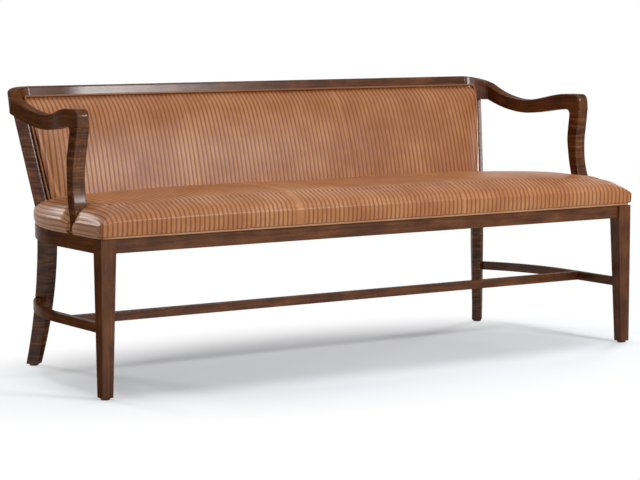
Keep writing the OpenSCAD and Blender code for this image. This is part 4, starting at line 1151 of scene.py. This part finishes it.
def post_front_y(x, z):
    """Depth just in front of the right post."""
    c = post_corners(z)
    return lerp(c[0][1], c[3][1], (c[0][0] - x) / (c[0][0] - c[3][0])) - 0.5


def back_pipe_side(z):
    """Middle of the cord beside the pad."""
    x = float(back_half_w(np.array([z]))[0]) + pipe_r + soft_gap
    end = float(back_end(np.array([z]))[0])
    return (x, min(end + 2, post_front_y(x, z)) - pipe_r - soft_gap, z)


pipe_top = back_top + pipe_r + soft_gap
half_path = [back_pipe_side(z) for z in np.arange(seat_rear - 26, back_top - 12, 13)]
half_path += [corner_point(a, corner_r - pipe_r - soft_gap - 0.5, pipe_top) for a in range(58, 83, 8)]
half_path.append((corner_x, back_plane(pipe_top) - pipe_r - soft_gap, pipe_top))
whole = half_path + [(-x, y, z) for x, y, z in half_path[::-1]]
points, faces = tube_mesh([tube(dense(whole), pipe_r, (0, 1, 0))])
# A tone of 2 makes the back's cord darker still, as painted shade
leather_piece("back_welt", points, faces, plain_ribs(points, 2.0), ["back_piping"])

# %% [markdown]
# ## Outside back
# Behind, a plain sheet of the same leather covers the frame from the rear rail to the
# crest rail. It is stretched flat over its frame and swells only slightly between its
# fixed edges.

# %% Outside back
cover_low, cover_high = box_mm("outside_back_cover")
# It lies behind the board, a joint's play and the uprights, counted from the back's plane
board_t = 5.0
play = 0.1
upright_t = 14.0
cover_front = board_t + play + upright_t + soft_gap
cover_t = 2.2
cover_belly = 0.8


def outside_half_w(z):
    """Half the width of the outside back, up to the posts' rear corners."""
    return post_b[0] + post_shift(z)[0] + polar(post_depth, 102)[0] - 1.2


def outside_grid(depth, swell_by):
    """A grid over the outside back. It swells in the middle and rounds off at its edge."""
    low, high = cover_low[2] + 0.2, cover_high[2] - 0.2
    grid = []
    for z in spread((low, 2), (low + 5.8, 20), (high - 5.8, 2), (high, 0)):
        w = outside_half_w(z)
        x = spread((-w, 3), (-w + 8, 60), (w - 8, 3), (w, 0))
        edge = np.minimum(np.minimum(w - np.abs(x), z - low), high - z)
        swollen = swell_by * (1 - np.exp(-edge / 60) - np.exp(-edge / 1.5))
        y = back_plane(z) + cover_front + depth + swollen
        grid.append(np.stack([x, y, np.full_like(x, z)], axis=-1))
    return np.array(grid)


behind, before = outside_grid(cover_t, cover_belly), outside_grid(0.0, 0.0)
index = grid_index(behind)
rim = rim_of(index)
rim_front = np.arange(len(rim)) + index.size
points = np.concatenate([behind.reshape(-1, 3), before.reshape(-1, 3)[rim]])
faces = grid_faces(index)
faces += np.stack([rim, np.roll(rim, -1), np.roll(rim_front, -1), rim_front], axis=-1).tolist()
faces.append(rim_front.tolist())
leather_piece("outside_back_leather", points, faces, plain_ribs(points), ["outside_back_cover"])

# %% [markdown]
# ## Materials
# Colours are written as on a colour card and turned into the linear values that a renderer
# works in. One helper adds a node with its settings and its links.

# %% Helpers for materials
def linear(card):
    """A hex colour as linear red, green, blue and alpha."""
    out = []
    for k in (0, 2, 4):
        c = int(card.lstrip("#")[k:k + 2], 16) / 255
        out.append(c / 12.92 if c <= 0.04045 else ((c + 0.055) / 1.055) ** 2.4)
    return (*out, 1.0)


def node(tree, kind, inputs=(), stops=(), **settings):
    """Adds a node. Its inputs come in order or by name, as values, outputs or nodes, and a node
    gives its first output. stops are the places and hex colours of a colour ramp."""
    made_node = tree.nodes.new("ShaderNode" + kind)
    for key, value in settings.items():
        setattr(made_node, key, value)
    for key, value in inputs.items() if isinstance(inputs, dict) else enumerate(inputs):
        if isinstance(value, bpy.types.Node):
            value = value.outputs[0]
        if isinstance(value, bpy.types.NodeSocket):
            tree.links.new(value, made_node.inputs[key])
        else:
            made_node.inputs[key].default_value = value
    for number, (place, card) in enumerate(stops):
        elements = made_node.color_ramp.elements
        element = elements[number] if number < 2 else elements.new(place)
        element.position = place
        element.color = linear(card)
    return made_node


def material(name):
    """A material without nodes, and its tree to put them in."""
    made_material = bpy.data.materials.new(name)
    made_material.use_nodes = True
    made_material.node_tree.nodes.clear()
    return made_material, made_material.node_tree


def seen_directly(tree):
    """1 for what the camera sees, by itself or mirrored in a surface."""
    path = node(tree, "LightPath")
    rays = [path.outputs["Is Camera Ray"], path.outputs["Is Glossy Ray"]]
    both = node(tree, "Math", rays, operation="MAXIMUM")
    return node(tree, "Math", [both, path.outputs["Is Transmission Ray"]], operation="MAXIMUM")


# %% [markdown]
# ### Stained walnut under satin lacquer
# The show wood is a hardwood, stained dark and sprayed with a satin lacquer. Its grain
# runs along each stick, so the pattern is fine across and long along the stored grain
# coordinates. Bandsawn curves show ripples of lighter and darker figure across the grain.

# %% Walnut
def walnut(name, lengthwise=False):
    """Stained walnut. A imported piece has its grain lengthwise, along X, and others store theirs."""
    made_material, tree = material(name)
    if lengthwise:
        figure = 0.0
        place = node(tree, "Mapping", {
            "Vector": node(tree, "TexCoord").outputs["Object"],
            "Rotation": (0, math.pi / 2, 0), "Scale": (1000, 1000, 1000),
        })
    else:
        figure = node(tree, "Attribute", attribute_name="figure").outputs["Fac"]
        place = node(tree, "Attribute", attribute_name="grain").outputs["Vector"]
    # Streaks a few millimetres wide and a few hundred long
    streaks = node(tree, "TexNoise", {
        "Vector": node(tree, "Mapping", {"Vector": place, "Scale": (0.13, 0.13, 0.006)}),
        "Scale": 1.0, "Detail": 5.0, "Roughness": 0.55, "Distortion": 0.5,
    })
    # Pores: dark hairs 0.4 mm wide and 10 mm long
    pores = node(tree, "TexNoise", {
        "Vector": node(tree, "Mapping", {"Vector": place, "Scale": (1.6, 1.6, 0.06)}),
        "Scale": 1.0, "Detail": 2.0,
    })
    pore_mask = node(tree, "MapRange", {
        "Value": pores, "From Min": 0.34, "From Max": 0.46, "To Min": 0.6, "To Max": 0.0,
    })
    # Figure: bars across the grain, about 12 mm from one to the next
    bars = node(tree, "TexNoise", {
        "Vector": node(tree, "Mapping", {"Vector": place, "Scale": (0.014, 0.014, 0.15)}),
        "Scale": 1.0, "Detail": 3.0, "Roughness": 0.5, "Distortion": 0.3,
    })
    clouds = node(tree, "TexNoise", {
        "Vector": node(tree, "Mapping", {"Vector": place, "Scale": (0.02, 0.02, 0.012)}),
        "Scale": 1.0, "Detail": 2.0,
    })
    centred = node(tree, "Math", [bars, 0.5], operation="SUBTRACT")
    swing = node(tree, "Math", [centred, figure], operation="MULTIPLY")
    half_streaks = node(tree, "Math", [streaks, 0.5], operation="MULTIPLY")
    soft = node(tree, "Math", [clouds, 0.5, half_streaks], operation="MULTIPLY_ADD")
    tone = node(tree, "Math", [swing, 1.2, soft], operation="MULTIPLY_ADD")
    stain = [(0.25, "#381c0e"), (0.45, "#593118"), (0.6, "#744422"), (0.85, "#9a693f")]
    colour = node(tree, "ValToRGB", [tone], stops=stain)
    dark = node(tree, "Mix", {0: pore_mask, 6: colour, 7: linear("#2a160c")}, data_type="RGBA")
    # The lacquer is rubbed down, so it stays dull at glancing angles
    gloss = node(tree, "MapRange", {
        "Value": node(tree, "LayerWeight", {"Blend": 0.5}).outputs["Facing"],
        "From Min": 0.12, "From Max": 0.5, "To Min": 0.3, "To Max": 0.003,
    })
    height = node(tree, "Math", [streaks, pore_mask], operation="SUBTRACT")
    shader = node(tree, "BsdfPrincipled", {
        "Base Color": dark.outputs[2], "Roughness": 0.22, "Specular IOR Level": gloss,
        "Normal": node(tree, "Bump", {"Strength": 0.1, "Distance": 0.0002, "Height": height}),
    })
    node(tree, "OutputMaterial", [shader])
    return made_material


walnut_lofted = walnut("stained_walnut")
walnut_packed = walnut("stained_walnut_lengthwise", lengthwise=True)
print("walnut", len(walnut_lofted.node_tree.nodes), "nodes")

# %% [markdown]
# ### Ribbed leather
# The cover is vegetable-tanned leather, pulled up and waxed, with sewn ribs. The colour
# wanders in soft clouds, the sewn lines are darker, and light catches the waxed skin, so
# it is fairly smooth with a fine pebble.

# %% Leather
def leather(name, low, middle, high):
    """Waxed leather between three tones, with the sewn lines that the piece stores as ribs."""
    made_material, tree = material(name)
    ribs = node(tree, "SeparateXYZ", [node(tree, "Attribute", attribute_name="ribs").outputs["Vector"]])
    place = node(tree, "TexCoord").outputs["Object"]
    # The lines wander by up to 0.04 of a rib
    wander = node(tree, "TexNoise", {"Vector": place, "Scale": 60.0, "Detail": 2.0})
    astray = node(tree, "Math", [wander, 0.5], operation="SUBTRACT")
    count = node(tree, "Math", [astray, 0.08, ribs.outputs["X"]], operation="MULTIPLY_ADD")
    # From 0 on a sewn line to 0.5 in the middle of a rib, where a faint crease runs
    off = node(tree, "Math", [count, 0.5], operation="PINGPONG")
    sewn = node(tree, "MapRange", {
        "Value": off, "From Min": 0.1, "From Max": 0.3, "To Min": 1.0, "To Max": 0.0,
    })
    crease = node(tree, "MapRange", {
        "Value": off, "From Min": 0.42, "From Max": 0.49, "To Min": 0.0, "To Max": 0.3,
    })
    darker = node(tree, "Math", [sewn, crease], operation="ADD")
    ribbed = node(tree, "Math", [1.0, ribs.outputs["Z"]], operation="SUBTRACT")
    kept = node(tree, "Math", [darker, ribbed], operation="MULTIPLY")
    lines = node(tree, "Math", [kept, 0.8], operation="MULTIPLY")
    clouds = node(tree, "TexNoise", {"Vector": place, "Scale": 7.0, "Detail": 5.0, "Roughness": 0.6})
    # Each panel is cut from another hide and stores its own tone
    panel_tone = node(tree, "Math", [ribs.outputs["Y"], 0.5], operation="SUBTRACT")
    tone = node(tree, "Math", [panel_tone, -0.05, clouds], operation="MULTIPLY_ADD")
    skin = node(tree, "ValToRGB", [tone], stops=[(0.3, low), (0.5, middle), (0.7, high)])
    colour = node(tree, "Mix", {0: lines, 6: skin, 7: linear("#7d4120")}, data_type="RGBA")
    gloss = node(tree, "MapRange", {
        "Value": node(tree, "LayerWeight", {"Blend": 0.5}).outputs["Facing"],
        "From Min": 0.3, "From Max": 0.8, "To Min": 0.35, "To Max": 0.06,
    })
    # Pebble of about 1.5 mm
    pebble = node(tree, "TexVoronoi", {"Vector": place, "Scale": 650.0})
    shader = node(tree, "BsdfPrincipled", {
        "Base Color": colour.outputs[2], "Roughness": 0.37, "Specular IOR Level": gloss,
        "Normal": node(tree, "Bump", {"Strength": 0.08, "Distance": 0.0003, "Height": pebble}),
    })
    node(tree, "OutputMaterial", [shader])
    return made_material


ribbed_leather = leather("ribbed_leather", "#a9693a", "#bd7e4e", "#cf9565")
seat_welt_leather = leather("seat_welt_leather", "#ab7a52", "#bb8b61", "#c59871")
# The back's cord is the same leather as the seat's cord. Its darker tones are painted shade for where it
# runs under the crest rail and beside the posts, and the corner seams use it for their dark seam line
back_welt_leather = leather("back_welt_leather", "#8a5733", "#9c6740", "#aa744b")
print("leather", len(ribbed_leather.node_tree.nodes), "nodes")

# %% [markdown]
# ### Hidden wood, foam, screws and glides
# The hidden rails are plain beech, the deck and the board are plywood, the filling is
# polyurethane foam, the screws are zinc-plated steel and the glides are moulded nylon.

# %% The other materials
def plain(name, low, high, scale, roughness, metallic=0.0):
    """A finish with soft variation at a scale given in repeats per metre on each axis."""
    made_material, tree = material(name)
    place = node(tree, "Mapping", {"Vector": node(tree, "TexCoord").outputs["Object"], "Scale": scale})
    noise = node(tree, "TexNoise", {"Vector": place, "Scale": 1.0, "Detail": 4.0})
    shader = node(tree, "BsdfPrincipled", {
        "Base Color": node(tree, "ValToRGB", [noise], stops=[(0.3, low), (0.7, high)]),
        "Roughness": roughness, "Metallic": metallic,
        "Normal": node(tree, "Bump", {"Strength": 0.1, "Distance": 0.0003, "Height": noise}),
    })
    node(tree, "OutputMaterial", [shader])
    return made_material


beech = plain("beech", "#b98f63", "#d2ae82", (20, 220, 220), 0.6)
plywood = plain("birch_plywood", "#c3a077", "#dcc29b", (15, 15, 700), 0.6)
# The deck is coloured as dark as the rails as painted shade, so that it doesn't show in the gap beside
# the rear posts
shade_dark_plywood = plain("shade_dark_birch_plywood", "#3a2214", "#4c2e1c", (15, 15, 700), 0.6)
foam = plain("polyurethane_foam", "#dccfae", "#ece2c8", (900, 900, 900), 0.9)
zinc = plain("zinc_plated_steel", "#9c9a93", "#b9b7b0", (400, 400, 400), 0.35, 1.0)
nylon = plain("black_nylon", "#17120f", "#241c17", (500, 500, 500), 0.5)

# Imported pieces, of which those without a finish here are show wood
finishes = {
    beech: [
        "cross_rails", "corner_blocks", "rail_dowels", "crest_dowels", "arm_dowels", "stretcher_dowels",
        "back_lower_rail", "back_uprights",
    ],
    plywood: ["back_board"],
    shade_dark_plywood: ["seat_deck"],
    zinc: ["corner_block_screws", "arm_post_screws", "deck_screws", "glide_nails"],
    nylon: ["foot_glides"],
    foam: ["seat_foam", "back_foam"],
    ribbed_leather: ["seat_cover", "back_cover", "outside_back_cover"],
    seat_welt_leather: ["seat_piping"],
    back_welt_leather: ["back_piping"],
}
finish_of = {name: finish for finish, names in finishes.items() for name in names}
for name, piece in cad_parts.items():
    piece.data.materials.clear()
    piece.data.materials.append(finish_of.get(name, walnut_packed))
welts = {
    "seat_welt": seat_welt_leather, "back_welt": back_welt_leather, "corner_seams": back_welt_leather,
}
for name in made:
    piece = bpy.data.objects[name]
    finish = walnut_lofted if "grain" in piece.data.attributes else welts.get(name, ribbed_leather)
    piece.data.materials.append(finish)
print(len(made), "pieces made")

# %% [markdown]
# ## Floor and light
# The floor is white paper. To the camera it is mostly white of its own, so that only a soft
# grey shadow stays under the bench. The light is a studio's: a broad ceiling of light and
# four soft boxes: in front, in front on the right, on the right and behind on the left.

# %% Floor
floor_reach = 30.0
floor_mesh = bpy.data.meshes.new("floor")
corners = [(x * floor_reach, y * floor_reach, 0) for x, y in ((-1, -1), (1, -1), (1, 1), (-1, 1))]
floor_mesh.from_pydata(corners, [], [(0, 1, 2, 3)])
floor = add_object("floor", floor_mesh)
paper, tree = material("white_paper")
floor_mesh.materials.append(paper)
white_light = (1.0, 1.0, 1.0, 1.0)
matt = node(tree, "BsdfDiffuse", {"Color": linear("#f6faff")})
# Near the bench the paper also glows faintly: painted light that lifts its shadow
faint = node(tree, "Emission", {"Color": white_light, "Strength": 0.07})
# Away from the bench the paper is lit to full white. The distance grows in ovals round the bench
oval_x, oval_y, oval_shift = 1.3, 0.66, 0.24
oval = node(tree, "Mapping", {
    "Vector": node(tree, "TexCoord").outputs["Object"],
    "Scale": (1 / oval_x, 1 / oval_y, 1.0), "Location": (0.0, oval_shift, 0.0),
})
distance = node(tree, "VectorMath", [oval], operation="LENGTH").outputs["Value"]
away = node(tree, "MapRange", {"Value": distance, "From Min": 0.6, "From Max": 1.12})
near = node(tree, "AddShader", [matt, faint])
far = node(tree, "Emission", {"Color": white_light, "Strength": 1.0})
dull = node(tree, "BsdfDiffuse", {"Color": linear("#dcdcdc")})
lit = node(tree, "MixShader", [away, near, far])
node(tree, "OutputMaterial", [node(tree, "MixShader", [seen_directly(tree), dull, lit])])
print("floor", 2 * floor_reach, "m wide")

# %% Light
world = bpy.data.worlds.new("studio")
bpy.context.scene.world = world
world.use_nodes = True
tree = world.node_tree
tree.nodes.clear()
bright_room = node(tree, "Background", {"Color": white_light, "Strength": 1.0})
dim_room = node(tree, "Background", {"Color": white_light, "Strength": 0.15})
node(tree, "OutputWorld", [node(tree, "MixShader", [seen_directly(tree), dim_room, bright_room])])


def lamp(name, kind, place, target, power, **settings):
    """A lamp that faces a target. A sun is far away, whatever its place."""
    data = bpy.data.lights.new(name, kind)
    data.energy = power
    for key, value in settings.items():
        setattr(data, key, value)
    obj = add_object(name, data)
    obj.location = place
    obj.rotation_euler = (Vector(place) - Vector(target)).to_track_quat("Z", "Y").to_euler()


# The ceiling of light is 24 degrees wide and stands 3 degrees behind the zenith
lamp("ceiling", "SUN", (0, math.tan(math.radians(3)), 1), (0, 0, 0), 1.0, angle=math.radians(24))
for name, place, target, size, power in (
    ("front_box", (-0.9, -3.8, 2.4), (-0.1, 0, 0.6), (1.8, 1.2), 25),
    ("crest_box", (1.22, -3.0, 2.18), (-0.6, 0.3, 0.8), (0.8, 0.55), 54),
    ("right_box", (3.4, 1.3, 0.8), (0.8, 0.35, 0.7), (0.9, 1.3), 60),
    ("rear_box", (-2.0, 4.8, 2.9), (-0.8, 0.1, 0.5), (1.0, 0.9), 75),
):
    lamp(name, "AREA", place, target, power, shape="RECTANGLE", size=size[0], size_y=size[1])

# %% [markdown]
# ## View transform
# The colours are shown with the standard view transform.

# %% The view transform
bpy.context.scene.view_settings.view_transform = "Standard"
